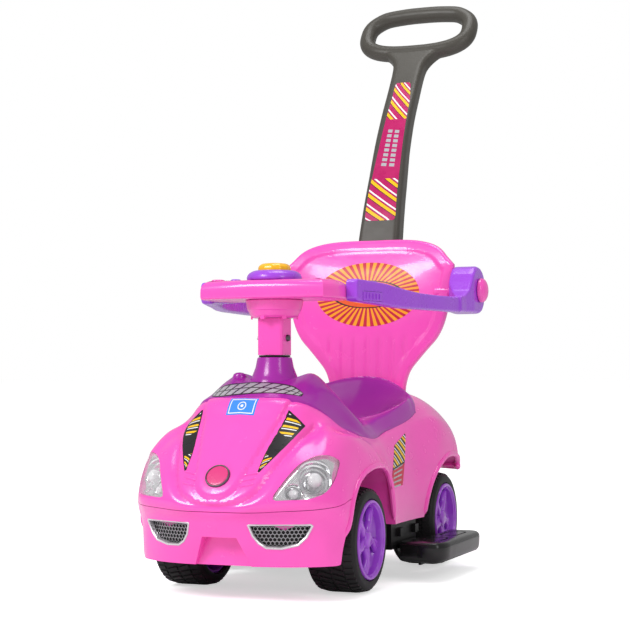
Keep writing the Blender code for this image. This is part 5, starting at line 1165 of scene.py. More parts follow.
def make_rim():
    barrel = rounded([(RIM_OUTER, -HALF_TYRE + 0.006), (RIM_OUTER, RIM_FACE - 0.0016),
                      (RIM_OUTER - 0.0012, RIM_FACE), (RIM_OUTER - 0.0040, RIM_FACE),
                      (RIM_OUTER - 0.0052, RIM_FACE - 0.0030), (RIM_OUTER - 0.0062, RIM_FACE - 0.0034),
                      (RIM_OUTER - 0.0074, RIM_FACE - 0.0120), (RIM_OUTER - 0.0110, DISC_X + 0.0016),
                      (RIM_OUTER - 0.0190, DISC_X), (HUB_RADIUS + 0.004, DISC_X + 0.001),
                      (HUB_RADIUS + 0.0008, DISC_X + 0.004), (HUB_RADIUS - 0.0010, HALF_TYRE - 0.0052),
                      (HUB_RADIUS - 0.0030, HALF_TYRE - 0.0034), (0.0055, HALF_TYRE - 0.0022),
                      (0.0, HALF_TYRE - 0.0020)], 0.0014, 3)
    rim = turned("rim_body", barrel, 72, (0, 0, 0), "X", (rim_violet,))
    back = [(RIM_OUTER, -HALF_TYRE + 0.006), (RIM_OUTER - 0.0032, -HALF_TYRE + 0.006),
            (RIM_OUTER - 0.0034, DISC_X - 0.004), (HUB_RADIUS + 0.002, DISC_X - 0.003),
            (HUB_RADIUS, -HALF_TYRE + 0.0007), (0.0046, -HALF_TYRE + 0.0007), (0.0046, 0.018)]
    merge(rim, turned("rim_back", back, 48, (0, 0, 0), "X", (rim_violet,)))
    steps = 14
    for k in range(5):
        base_angle = math.radians(126 + 72 * k)
        for lobe in (-1, 1):
            sections = []
            for i in range(steps + 1):
                t = i / steps
                reach = HUB_RADIUS - 0.003 + (RIM_OUTER - 0.0060 - HUB_RADIUS + 0.003) * t
                aside = lobe * (0.0030 * math.cos(math.pi * t * 1.15)) + 0.0035 * math.sin(math.pi * t)
                wide = 0.0042 + 0.0022 * t
                tall = 0.0052 - 0.0008 * t + lobe * 0.0006 * math.cos(math.pi * t)
                middle_x = DISC_X + 0.0072 - 0.0012 * t + 0.0016 * math.sin(math.pi * t)
                row = []
                for m in range(14):
                    a = 2 * math.pi * m / 14
                    angle = base_angle + (aside + wide * math.cos(a)) / max(reach, 0.012)
                    row.append(wheel_point(middle_x + tall * math.sin(a), angle, reach))
                sections.append(row)
            merge(rim, loft("spoke", sections, (rim_violet,)))
    return rim


tyre = make_tyre()
rim = make_rim()
for side, sign in (("left", 1), ("right", -1)):
    for end, y in (("front", 0.0), ("rear", WHEELBASE)):
        for source, kind, slot in ((tyre, "tyre", "tyre_black"), (rim, "rim", "rim_purple")):
            name = "%s_%s_%s_looks" % (kind, end, side)
            piece = copy_of(source, name) if sign > 0 else mirror_of(source, name)
            piece.data.transform(Matrix.Translation((sign * TRACK_HALF, y, TYRE_RADIUS)))
            finish(piece, "wheel_%s_%s" % (end, side), ("%s_%s_%s" % (kind, end, side),))
for source in (tyre, rim):
    bpy.data.objects.remove(source, do_unlink=True)

# Steering: hub, console, dome, horn and tune buttons


def levels_of(node):
    """The CAD node's lowest and highest level."""
    return [corner[2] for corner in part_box(node)]


HUB_LOW, HUB_HIGH = levels_of("steering_hub")
CONSOLE_LOW, CONSOLE_TOP = levels_of("steering_console")
DOME_LOW, DOME_HIGH = levels_of("music_dome")
HORN_LOW, HORN_HIGH = levels_of("horn_button")
TAB_RADIUS = 0.0312
TAB = ((-0.003, -0.0012), (0.003, -0.0012), (0.003, 0.0012), (-0.003, 0.0012))
hub_profile = rounded([(0.0068, HUB_LOW), (0.0300, HUB_LOW), (0.0330, HUB_LOW + 0.003),
                       (0.0362, HUB_LOW + 0.0100), (0.0374, HUB_LOW + 0.0112),
                       (0.0400, HUB_HIGH - 0.001), (0.0398, HUB_HIGH),
                       (0.0372, HUB_HIGH), (0.0330, HUB_LOW + 0.010), (0.029, HUB_LOW + 0.0035),
                       (0.011, HUB_LOW + 0.0035), (0.011, HUB_HIGH), (0.0064, HUB_HIGH)], 0.0012, 3)
hub = turned("hub_shell", hub_profile, 72, (0, COLUMN_Y, 0), "Z", (pink,), ring=True)
for degrees in (205, 262, 318, 20, 80, 140):
    angle = math.radians(degrees)
    outwards = Vector((math.cos(angle), math.sin(angle), 0))
    across = Vector((-math.sin(angle), math.cos(angle), 0))
    middle = Vector((TAB_RADIUS * math.cos(angle), COLUMN_Y + TAB_RADIUS * math.sin(angle), 0))
    outline = [middle + across * a + outwards * b for a, b in TAB]
    merge(hub, prism("tab", [(p.x, p.y) for p in outline], "Z", HUB_LOW - 0.0018, HUB_LOW + 0.004,
                     (pink,)))
finish(hub, "steering", ("steering_hub",))


def console_outline(shrink, steps=22):
    """The console from above: a disc with flattened front and rear."""
    front = math.asin(CONSOLE_FRONT / CONSOLE_RADIUS)
    rear = math.asin(CONSOLE_REAR / CONSOLE_RADIUS)
    points = []
    for k in range(steps + 1):
        angle = -front + (front + rear) * k / steps
        points.append((CONSOLE_RADIUS * math.cos(angle), CONSOLE_RADIUS * math.sin(angle)))
    reach = CONSOLE_RADIUS * math.cos(rear)
    inner = [0.92 - 1.84 * k / 12 for k in range(13)]
    points += [(reach * t, CONSOLE_REAR + 0.004 * (1 - t * t)) for t in inner]
    for k in range(steps + 1):
        angle = math.pi - rear + (front + rear) * k / steps
        points.append((CONSOLE_RADIUS * math.cos(angle), CONSOLE_RADIUS * math.sin(angle)))
    reach = CONSOLE_RADIUS * math.cos(front)
    points += [(-reach * t, -CONSOLE_FRONT - 0.006 * (1 - t * t)) for t in inner]
    return [(x, y + COLUMN_Y) for x, y in grow(points, -shrink)]


def console_ring(shrink, z, dip=0.0):
    return [(x, y, z - dip * (x / CONSOLE_RADIUS) ** 2) for x, y in console_outline(shrink)]


console_steps = ((0.0042, 0.0, 0.0), (0.0018, 0.0006, 0.0), (0.0004, 0.0022, 0.0), (0.0, 0.0045, 0.0),
                 (0.0, 0.0105, 0.001), (0.0002, 0.0163, 0.003), (0.0010, 0.0195, 0.003),
                 (0.0030, 0.0225, 0.003), (0.0058, 0.0244, 0.0022), (0.0090, 0.0254, 0.0010),
                 (0.0125, 0.0259, 0.0002))
rings = [console_ring(shrink, CONSOLE_LOW + rise, dip) for shrink, rise, dip in console_steps]
rings.append(console_ring(0.0160, CONSOLE_TOP))
console = loft("console_shell", rings, (pink,))
cut(console, loft("cavity", [console_ring(0.005, z) for z in (CONSOLE_LOW - 0.01, CONSOLE_TOP - 0.006)]))
TUNE_Y = COLUMN_Y - 0.012
TUNE_PINK = (-0.080, 0.0095)
TUNE_PURPLE = (-0.053, 0.0075)
for x, radius in (TUNE_PINK, TUNE_PURPLE):
    cut(console, rod("hole", radius + GAP, CONSOLE_TOP - 0.02, CONSOLE_TOP + 0.02, 40, (x, TUNE_Y, 0)))
finish(console, "steering", ("steering_console",), 28)

dome_height = DOME_HIGH - DOME_LOW
dome_profile = rounded([(0.0, 0.0004), (DOME_RADIUS - 0.001, 0.0), (DOME_RADIUS, 0.0012),
                        (DOME_RADIUS + 0.0003, 0.004), (DOME_RADIUS - 0.0016, 0.0088),
                        (DOME_RADIUS - 0.0064, 0.0122), (HORN_RADIUS + 0.0044, dome_height),
                        (HORN_RADIUS + GAP, dome_height - 0.0002), (HORN_RADIUS + GAP, 0.0032),
                        (0, 0.0032)], 0.0024, 4)
dome = turned("dome_shell", dome_profile, 96, (0, COLUMN_Y, DOME_LOW), "Z", (violet,))
finish(dome, "steering", ("music_dome",))
horn_tall = HORN_HIGH - HORN_LOW
horn_profile = rounded([(0, 0), (HORN_RADIUS, 0), (HORN_RADIUS, horn_tall - 0.0075),
                        (HORN_RADIUS - 0.0010, horn_tall - 0.0042),
                        (HORN_RADIUS - 0.0048, horn_tall - 0.0012),
                        (HORN_RADIUS - 0.011, horn_tall - 0.0003), (0, horn_tall)], 0.0022, 4)
FLUTES = 12
FLUTE_DEPTH = 0.035
horn = turned("horn_cap", horn_profile, 96, (0, 0, HORN_LOW), "Z", (yellow,))
for vert in horn.data.vertices:
    radius = math.hypot(vert.co.x, vert.co.y)
    if radius > HORN_RADIUS * 0.45 and vert.co.z > HORN_LOW + 0.0068:
        angle = math.atan2(vert.co.y, vert.co.x)
        outer = ease((radius / HORN_RADIUS - 0.45) / 0.3)
        shrink = 1 - FLUTE_DEPTH * (0.5 + 0.5 * math.cos(FLUTES * angle)) * outer
        vert.co.x *= shrink
        vert.co.y *= shrink
horn.data.transform(Matrix.Translation((0, COLUMN_Y, 0)))
finish(horn, "horn_button", ("horn_button",))
for name, (x, radius), material, slot in (("tune_button_pink", TUNE_PINK, pink, "body_pink"),
                                          ("tune_button_purple", TUNE_PURPLE, violet, "dome_purple")):
    base, top = levels_of(name)
    tall = top - base
    cap = rounded([(0, 0), (radius, 0), (radius, tall - 0.0014), (radius - 0.0022, tall - 0.0002),
                   (0, tall)], 0.0012, 4)
    finish(turned(name + "_cap", cap, 40, (x, TUNE_Y, base), "Z", (material,)), name, (name,))

# Guard arms: collar, rail and ear are blended into one smooth moulding
COLLAR_X = CONSOLE_RADIUS + 0.0075
ARM_HALF = 0.009
EAR_INNER_X = 0.1435
EAR_OUTER_X = 0.183
PIVOT_Y = BACK_Y + 0.006
PIVOT_Z = CONSOLE_TOP + 0.001
ARM_TOP = CONSOLE_TOP + 0.0012
ARM_BOTTOM = CONSOLE_LOW - 0.0025
ARM_VOXEL = 0.0013
PIN_RADIUS = 0.005
RAIL = [(0.010, -0.001, -0.003, 0.004), (0.014, 0.0, 0.0, 0.0), (0.022, 0.0015, 0.0, -0.001),
        (0.076, 0.0155, -0.003, -0.004), (0.102, 0.0225, -0.006, -0.006),
        (0.138, 0.0305, -0.010, -0.007), (0.183, 0.0385, -0.013, -0.007),
        (0.248, 0.0500, -0.014, -0.007), (0.313, 0.0580, -0.013, -0.007),
        (0.340, 0.0610, -0.009, -0.006), (0.366, 0.0625, 0.001, -0.005)]


def remeshed(item, voxel, rounds, material):
    """One closed skin over overlapping solids, with its creases softened."""
    bake(item)
    step = item.modifiers.new("skin", "REMESH")
    step.mode = "VOXEL"
    step.voxel_size = voxel
    soften = item.modifiers.new("soften", "SMOOTH")
    soften.factor = 0.5
    soften.iterations = rounds
    bake(item)
    item.data.materials.clear()
    item.data.materials.append(material)
    for polygon in item.data.polygons:
        polygon.material_index = 0
    return item


sections = []
for dy, dx, top, bottom in smooth_line(RAIL, 5):
    ring = rounded_rectangle(ARM_HALF, (ARM_TOP + top - ARM_BOTTOM - bottom) / 2, 0.0034, 4)
    middle = (ARM_TOP + top + ARM_BOTTOM + bottom) / 2
    sections.append([(COLLAR_X + dx + a, COLUMN_Y + dy, middle + b) for a, b in ring])
arm = loft("arm_shell_left", sections, (violet,))
web = [(COLLAR_X - 0.006, COLUMN_Y + 0.0105), (COLLAR_X, COLUMN_Y + 0.0105),
       (COLLAR_X + 0.014, COLUMN_Y + 0.072), (COLLAR_X + 0.010, COLUMN_Y + 0.084),
       (CONSOLE_RADIUS * 0.86, COLUMN_Y + 0.068),
       (CONSOLE_RADIUS * 0.80, COLUMN_Y + 0.061), (CONSOLE_RADIUS * 0.82, COLUMN_Y + 0.040)]
collar = prism("collar", web, "Z", ARM_BOTTOM + 0.0022, ARM_TOP - 0.0008)
EAR = [(-84, -35), (-52, -34.5), (-20, -36.5), (-6, -37), (6, -36), (18, -32), (27, -24), (33, -12),
       (35, 0), (34, 12), (29, 23), (20, 31), (8, 36), (-8, 37.5), (-20, 34), (-30, 25), (-38, 12),
       (-48, -2), (-62, -10), (-84, -13)]
ear = counterclockwise([(PIVOT_Y + a * MM, PIVOT_Z + b * MM) for a, b in EAR])
ear_rings = []
for x, shrink in ((EAR_INNER_X, 0.003), (EAR_INNER_X + 0.001, 0.001), (EAR_INNER_X + 0.003, 0.0),
                  (EAR_OUTER_X - 0.005, 0.0), (EAR_OUTER_X - 0.0015, 0.0012), (EAR_OUTER_X, 0.004)):
    ear_rings.append([(x, a, b) for a, b in grow(ear, -shrink)])
ear_body = loft("ear", ear_rings)
haunch = [(-0.1, -0.1), (EAR_INNER_X - 0.03, PIVOT_Y - 0.2), (COLLAR_X + 0.0520, PIVOT_Y - 0.090),
          (COLLAR_X + 0.0525, PIVOT_Y - 0.062), (EAR_INNER_X - 0.001, PIVOT_Y - 0.034)]
far_haunch = [(COLLAR_X + 0.064, PIVOT_Y - 0.2), (0.3, PIVOT_Y - 0.2), (0.3, PIVOT_Y - 0.020),
              (EAR_OUTER_X + 0.001, PIVOT_Y - 0.022), (COLLAR_X + 0.0695, PIVOT_Y - 0.060)]
for outline in (haunch, far_haunch):
    cut(ear_body, prism("haunch", outline, "Z", CUT_LOW_Z, CUT_HIGH_Z))
merge(arm, collar, ear_body)
remeshed(arm, ARM_VOXEL, 10, violet)
cut(arm, rod("space", CONSOLE_RADIUS + 0.0006, CUT_LOW_Z, CUT_HIGH_Z, 240, (0, COLUMN_Y, 0)))
cut(arm, rod("pin_hole", PIN_RADIUS + GAP, 0.1, CUT_HALF, 32, (0, PIVOT_Y, PIVOT_Z), "X"))
LATCH_LOW = ARM_BOTTOM + 0.0010
LATCH_HIGH = LATCH_LOW + 0.0125
LEAN = Vector((0.014, 0.054)).normalized()
SQUARE = Vector((LEAN.y, -LEAN.x))
FACE_START = Vector((COLLAR_X + 0.0015 + ARM_HALF, COLUMN_Y + 0.022))


def arm_block(name, start, end, inner, outer, low, high, materials=(violet,)):
    """A block on the arm's flat side: from start to end along it, inner to outer across it."""
    outline = [tuple(FACE_START + LEAN * a + SQUARE * b)
               for a, b in ((start, inner), (start, outer), (end, outer), (end, inner))]
    return prism(name, outline, "Z", low, high, materials)


def bevel(item, width, segments=2, angle=40):
    edge = item.modifiers.new("edge", "BEVEL")
    edge.width = width
    edge.segments = segments
    edge.limit_method = "ANGLE"
    edge.angle_limit = math.radians(angle)
    return item


LATCH_FRONT = 0.003
LATCH_REAR = 0.049
cut(arm, arm_block("slot", LATCH_FRONT - GAP, LATCH_REAR + GAP, -0.0085, 0.02, LATCH_LOW - GAP,
                   LATCH_HIGH + GAP))
latch = arm_block("latch_left", LATCH_FRONT, LATCH_REAR, -0.0051, 0.0010, LATCH_LOW, LATCH_HIGH)
bake(bevel(latch, 0.0008, 3))
for k in range(5):
    place = 0.010 + k * 0.008
    ridge = arm_block("rib", place - 0.001, place + 0.001, 0.0004, 0.0022, LATCH_LOW + 0.0024,
                      LATCH_HIGH - 0.0024)
    merge(latch, bake(bevel(ridge, 0.0006)))
KNOB_X = EAR_OUTER_X + GAP
knob_profile = [(0.0, KNOB_X + 0.0045), (0.0092, KNOB_X + 0.0045), (0.0092, KNOB_X), (0.0180, KNOB_X),
                (0.0190, KNOB_X + 0.0012), (0.0188, KNOB_X + 0.0045), (0.0168, KNOB_X + 0.0078),
                (0.0125, KNOB_X + 0.0104), (0.0060, KNOB_X + 0.0121), (0.0, KNOB_X + 0.0125)]
knob = turned("knob_cap_left", rounded(knob_profile, 0.002, 3), 56, (0, PIVOT_Y, PIVOT_Z), "X", (pink,))
finish_pair(arm, "guard_arm", "guard_arm", 40)
finish_pair(latch, "guard_latch", "guard_latch", 40)
finish_pair(knob, "guard_arm", "guard_knob", 40)

# Backrest: a curved plate with a raised border and flutes, its pivot bosses and the handle's socket
LOW_EDGE = [(0, 236), (61, 236)] + [tuple(p) for p in smooth_line(
    [(62, 250), (63.5, 270), (67, 284), (73, 297), (86, 313), (100, 329), (115, 346), (126, 368),
     (134, 398), (139, 425), (143, 450)], 4)]
HIGH_EDGE = [tuple(p) for p in smooth_line([(0, 505), (40, 505), (72, 503), (96, 498), (112, 491),
                                            (122, 483), (130, 474), (137, 467), (143, 461)], 4)]
CENTRE_LINE = smooth_line([(236, -5), (290, -5), (345, -4), (380, -2), (416, 1), (450, 8), (470, 15),
                           (490, 23), (508, 30)], 4)
SIDE_LINE = smooth_line([(236, -5), (300, -1), (345, 0), (450, 1), (470, 3), (490, 9), (508, 18)], 4)
EDGE_ROUND = 5.0
BORDER_RISE = 2.0


def back_front(x, z):
    middle = np.interp(z, CENTRE_LINE[:, 0], CENTRE_LINE[:, 1])
    side = np.interp(z, SIDE_LINE[:, 0], SIDE_LINE[:, 1])
    return side + (middle - side) * (1 - np.minimum(1.0, np.abs(x) / 143) ** 2)


stations = sorted(set([round(v, 3) for v in np.linspace(-143, 143, 133)]
                      + [s * v for v in (61, 61.5, 62, 62.6, 63.2, 141.5, 142.4) for s in (-1, 1)]))
half_line = LOW_EDGE + HIGH_EDGE[::-1]
back_line = half_line + [(-a, b) for a, b in half_line[::-1]]
levels = [(1 - math.cos(math.pi * k / 60)) / 2 for k in range(61)]
spots = []
for x in stations:
    low = np.interp(abs(x), *zip(*LOW_EDGE))
    high = np.interp(abs(x), *zip(*HIGH_EDGE))
    spots += [(x, low + (high - low) * t) for t in levels]
spots = np.array(spots)
inset = depth_inside(spots, back_line)
from_round = EDGE_ROUND - np.maximum(inset, 0)
tuck = np.where(inset < EDGE_ROUND,
                EDGE_ROUND - np.sqrt(np.maximum(EDGE_ROUND ** 2 - from_round ** 2, 0)), 0)
border = BORDER_RISE * ease((19.0 - inset) / 2.5) * (spots[:, 1] > 262)
flutes = (np.maximum(np.cos(2 * math.pi * spots[:, 0] / 21.0), 0) ** 2 * 1.7
          * ease((352 - spots[:, 1]) / 18) * ease((inset - 19) / 5))
base = back_front(spots[:, 0], spots[:, 1])
front = np.stack([spots[:, 0], base - border + flutes + tuck, spots[:, 1]], 1)
slack = 1.8 * ease((spots[:, 1] - 448) / 10) * ease((42 - np.abs(spots[:, 0])) / 4)
rear = np.stack([spots[:, 0], base + BACK_WALL / MM - tuck - slack, spots[:, 1]], 1)
place = np.array([0.0, BACK_Y / MM - 4, 0.0])
front = ((front + place) * MM).reshape(len(stations), len(levels), 3)
rear = ((rear + place) * MM).reshape(len(stations), len(levels), 3)
sections = [list(a) + list(b[::-1]) for a, b in zip(front, rear)]
backrest = loft("backrest_shell", sections, (pink,))
BACK_SURFACE = tree_of(backrest)
BOSS_INNER_X = 0.1115
BOSS_RADIUS = 0.0115
boss_profile = rounded([(PIN_RADIUS + GAP, BOSS_INNER_X), (BOSS_RADIUS, BOSS_INNER_X),
                        (BOSS_RADIUS, EAR_INNER_X - 0.0016), (BOSS_RADIUS - 0.001, EAR_INNER_X - GAP),
                        (PIN_RADIUS + GAP, EAR_INNER_X - GAP)], 0.0008, 2)
boss = turned("boss", boss_profile, 48, (0, PIVOT_Y, PIVOT_Z), "X", (pink,), ring=True)
merge(backrest, mirror_of(boss, "boss_twin"), boss)
ROD_X = 0.036
ROD_DEPTH = 0.017
SOCKET_WALL = 0.0036
SOCKET_HIGH = 0.448
ROD_LOW = 0.335
socket_x = ROD_X + GAP + SOCKET_WALL
socket_rear = ROD_Y + ROD_DEPTH + GAP + SOCKET_WALL
socket_low = ROD_LOW - GAP - SOCKET_WALL
corner = rounded_rectangle(socket_x, 0.035, 0.006, 4, (0, socket_rear - 0.035))
socket = prism("socket", corner, "Z", socket_low, SOCKET_HIGH, (pink,))
lean = [(BACK_Y - 0.002, socket_low - 0.01), (ROD_Y + 0.1, socket_low - 0.01),
        (ROD_Y + 0.1, SOCKET_HIGH + 0.01), (BACK_Y + 0.010, SOCKET_HIGH + 0.01)]
meet(socket, across_car("lean", lean, 0.2))
bore = rounded_rectangle(ROD_X + GAP, ROD_DEPTH + GAP, 0.006, 5, (0, ROD_Y))
cut(socket, prism("bore", bore, "Z", ROD_LOW - GAP, 0.7))
LOCK_Z = SOCKET_HIGH - 0.032
LOCK_RADIUS = 0.007
cut(socket, rod("hole", LOCK_RADIUS + GAP, ROD_Y, ROD_Y + 0.05, 40, (0, 0, LOCK_Z), "Y"))
collar_profile = rounded([(LOCK_RADIUS + GAP, -0.001), (LOCK_RADIUS + 0.004, -0.001),
                          (LOCK_RADIUS + 0.0035, 0.003), (LOCK_RADIUS + GAP, 0.003)], 0.0008, 3)
lock_ring = turned("lock_ring", collar_profile, 40, (0, socket_rear, LOCK_Z), "Y", (pink,), ring=True)
merge(backrest, socket, lock_ring)
finish(backrest, "car", ("backrest",), 35)
low, high = [v[1] - CAR_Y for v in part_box("handle_lock_button")]
lock_profile = rounded([(0, low), (LOCK_RADIUS, low), (LOCK_RADIUS, high - 0.0012),
                        (LOCK_RADIUS - 0.0014, high - 0.0002), (0, high - 0.0006)], 0.0009, 3)
lock_cap = turned("lock_cap", lock_profile, 48, (0, 0, LOCK_Z), "Y", (black,))
finish(lock_cap, "handle_lock_button", ("handle_lock_button",))

# Push handle: a flat curved bar that widens into a grip loop
HANDLE_LINE = [(0, 335, 36, 17), (0, 450, 36, 17), (3, 480, 35.5, 17), (12.5, 513, 34.5, 17),
               (29, 562, 32.5, 17), (49.6, 612.5, 30.5, 16.5), (71, 665.5, 28.5, 16),
               (101, 720.6, 27, 15.5), (131, 765, 26.5, 15),
               (158.7, 806, 27, 14.5), (171, 824, 31, 14), (181, 839, 43, 13), (189, 851, 60, 11.5)]
X_AXIS = Vector((1, 0, 0))
line = np.concatenate([[HANDLE_LINE[0]], smooth_line(HANDLE_LINE[1:], 4)])
sections = []
for i, (dy, z, wide, deep) in enumerate(line):
    before = line[max(i - 1, 0)]
    after = line[min(i + 1, len(line) - 1)]
    along = Vector((0, after[0] - before[0], after[1] - before[1])).normalized()
    if i < 2:
        along = Vector((0, 0, 1))
    across = Vector((0, along.z, -along.y))
    centre = Vector((0, ROD_Y + dy * MM, z * MM))
    ring = rounded_rectangle(wide * MM, deep * MM, min(0.008, deep * MM * 0.6), 5)
    sections.append([centre + X_AXIS * u + across * v for u, v in ring])
handle = loft("handle_shell", sections, (grey,))
GRIP_UP = Vector((0, 0.569, 0.822))
GRIP_MIDDLE = Vector((0, ROD_Y + 0.216, ROD_LOW + 0.555))
GRIP_SIDE = GRIP_UP.cross(X_AXIS)
GRIP_HALF_WIDE = 0.0935
GRIP_HALF_TALL = 0.0475
GRIP_SQUARENESS = 2.7
HUMP_RISE = 0.0016
HUMP_PLACE = 38
HUMP_SPREAD = 12
HANDLE_VOXEL = 0.0016
LOOP_STEPS = 96
loop = []
for k in range(LOOP_STEPS):
    angle = 2 * math.pi * k / LOOP_STEPS
    c = math.cos(angle)
    d = math.sin(angle)
    power = 2 / GRIP_SQUARENESS
    from_top = abs(math.degrees(math.atan2(d, c)) - 90)
    hump = HUMP_RISE * math.exp(-((from_top - HUMP_PLACE) / HUMP_SPREAD) ** 2)
    loop.append(GRIP_MIDDLE + X_AXIS * GRIP_HALF_WIDE * math.copysign(abs(c) ** power, c)
                + GRIP_UP * (GRIP_HALF_TALL * math.copysign(abs(d) ** power, d) + hump - 0.0014))
sections = []
for k in range(LOOP_STEPS):
    along = (loop[(k + 1) % LOOP_STEPS] - loop[k - 1]).normalized()
    out = along.cross(GRIP_SIDE)
    sections.append([loop[k] + out * 0.0140 * math.cos(2 * math.pi * m / 20)
                     + GRIP_SIDE * 0.0146 * math.sin(2 * math.pi * m / 20) for m in range(20)])
sections.append(sections[0])
merge(handle, loft("grip", sections, (), capped=False))
remeshed(handle, HANDLE_VOXEL, 6, grey)
HANDLE_SURFACE = tree_of(handle)
finish(handle, "push_handle", ("push_handle",), 50)

# Footrests
REST_INNER = HALF_WIDTH + 0.0015
REST_ROOT = HALF_WIDTH - 0.0135
REST_FRONT = 0.129
REST_REAR = REST_FRONT + 0.202
REST_OUTER = HALF_WIDTH + 0.0575
REST_TOP = 0.054
REST_BOTTOM = 0.026
pad = [(REST_ROOT, REST_FRONT + 0.006), (REST_ROOT + 0.006, REST_FRONT),
       (REST_OUTER - 0.019, REST_FRONT), (REST_OUTER - 0.0125, REST_FRONT + 0.0018),
       (REST_OUTER - 0.0072, REST_FRONT + 0.0062), (REST_OUTER - 0.0025, REST_FRONT + 0.016),
       (REST_OUTER - 0.0005, REST_FRONT + 0.0245), (REST_OUTER, REST_FRONT + 0.032),
       (REST_OUTER, REST_REAR - 0.032), (REST_OUTER - 0.0005, REST_REAR - 0.0245),
       (REST_OUTER - 0.0025, REST_REAR - 0.016), (REST_OUTER - 0.0072, REST_REAR - 0.0062),
       (REST_OUTER - 0.0125, REST_REAR - 0.0018), (REST_OUTER - 0.020, REST_REAR),
       (REST_INNER + 0.006, REST_REAR), (REST_INNER, REST_REAR - 0.006),
       (REST_INNER, REST_FRONT + 0.118), (REST_ROOT, REST_FRONT + 0.108)]
rest_levels = ((REST_BOTTOM, 0.0080), (REST_BOTTOM + 0.0015, 0.0042), (REST_BOTTOM + 0.0045, 0.0016),
               (REST_BOTTOM + 0.009, 0.0006), (REST_TOP - 0.008, 0.0), (REST_TOP - 0.0042, 0.0004),
               (REST_TOP - 0.0020, 0.0016), (REST_TOP - 0.0007, 0.0032), (REST_TOP, 0.0056))
footrest = loft("rest_left", [[(x, y, z) for x, y in grow(pad, -shrink)] for z, shrink in rest_levels],
                (gloss_black,))
for middle_y, half_long in ((REST_FRONT + 0.054, 0.028), (REST_FRONT + 0.140, 0.034)):
    outer = rounded_rectangle(0.0140, half_long, 0.0135, 8, (REST_OUTER - 0.0300, middle_y))
    groove = prism("groove", outer, "Z", REST_TOP - 0.0016, REST_TOP + 0.01)
    cut(groove, prism("island", grow(outer, -0.0030), "Z", REST_TOP - 0.01, REST_TOP + 0.02))
    cut(footrest, groove)
apron = [(REST_ROOT + 0.0006, REST_TOP - 0.012), (REST_ROOT + 0.024, REST_TOP - 0.006),
         (REST_ROOT + 0.022, REST_TOP + 0.001), (REST_ROOT + 0.008, SILL_Z - 0.006),
         (REST_ROOT + 0.005, SILL_Z - 0.003), (REST_ROOT + 0.0006, SILL_Z - 0.003)]
flange = prism("apron", apron, "Y", REST_FRONT + 0.0047, REST_FRONT + 0.1043, (black,))
merge(footrest, bake(bevel(flange, 0.0012, 3)))
keel = rounded_rectangle(0.002, 0.082, 0.0015, 3, (REST_INNER + 0.014, REST_FRONT + 0.0990))
merge(footrest, prism("keel", keel, "Z", REST_BOTTOM - 0.005, REST_TOP - 0.004, (black,)))
PRONG_X = 0.094
PRONG_WIDTH = 0.015
for start in (REST_FRONT + 0.012, REST_FRONT + 0.078):
    outline = [(PRONG_X, start), (REST_ROOT + 0.003, start), (REST_ROOT + 0.003, start + PRONG_WIDTH),
               (PRONG_X, start + PRONG_WIDTH)]
    merge(footrest, prism("prong", outline, "Z", 0.0605, 0.0720, (black,)))
slot_frame = rounded_rectangle(0.0036, 0.0085, 0.001, 3, (REST_OUTER - 0.0360, REST_BOTTOM + 0.0155))
cut(footrest, prism("mark", slot_frame, "Y", REST_FRONT - 0.01, REST_FRONT + 0.0012))
finish_pair(footrest, "footrest", "footrest", 30)

# Pieces that stay as the CAD has them, with their finish and soft edges
kept = {black: ("chassis", "steering_bush", "speaker", "battery_box"),
        steel: ("rear_axle", "axle_nut_front_left", "axle_nut_front_right", "axle_nut_rear_left",
                "axle_nut_rear_right", "knuckle_left", "knuckle_right", "kingpin_left", "kingpin_right",
                "tie_rod", "steering_column", "guard_pin_left", "guard_pin_right"),
        dark_steel: ("column_bolt", "column_nut"), pink: ("column_sleeve", "console_base"),
        board_green: ("sound_board",)}
for material, names in kept.items():
    for name in names:
        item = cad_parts[name]
        for place in item.material_slots:
            place.material = material
        bevel(item, 0.0012 if name == "column_sleeve" else 0.0004, 2, 50)

# Stickers: thin films with plain patterns
FILM = 0.00025


def figure(tree, operation, *values):
    item = tree.nodes.new("ShaderNodeMath")
    item.operation = operation
    for i, value in enumerate(values):
        if isinstance(value, (int, float)):
            item.inputs[i].default_value = value
        else:
            tree.links.new(value, item.inputs[i])
    return item.outputs["Value"]


def bars(tree, u, v, lean, pitch, share, shift=0.0):
    """Repeated slanted bars: 1 on a bar, 0 between bars."""
    slanted = figure(tree, "MULTIPLY_ADD", v, lean, u)
    place = figure(tree, "MULTIPLY_ADD", slanted, 1 / pitch, shift)
    return figure(tree, "LESS_THAN", figure(tree, "FRACT", place), share)


def both(tree, first, second):
    return figure(tree, "MULTIPLY", first, second)


def either(tree, first, second):
    """Two masks that don't overlap, as one."""
    return figure(tree, "ADD", first, second)


def between(tree, value, low, high):
    return both(tree, figure(tree, "GREATER_THAN", value, low), figure(tree, "LESS_THAN", value, high))


def far_from(tree, u, v, squash=1.0):
    """Distance from the place where u and v are 0, with v's share squashed by a factor."""
    return figure(tree, "SQRT", figure(tree, "ADD", figure(tree, "MULTIPLY", u, u),
                                       figure(tree, "MULTIPLY", figure(tree, "MULTIPLY", v, v), squash)))


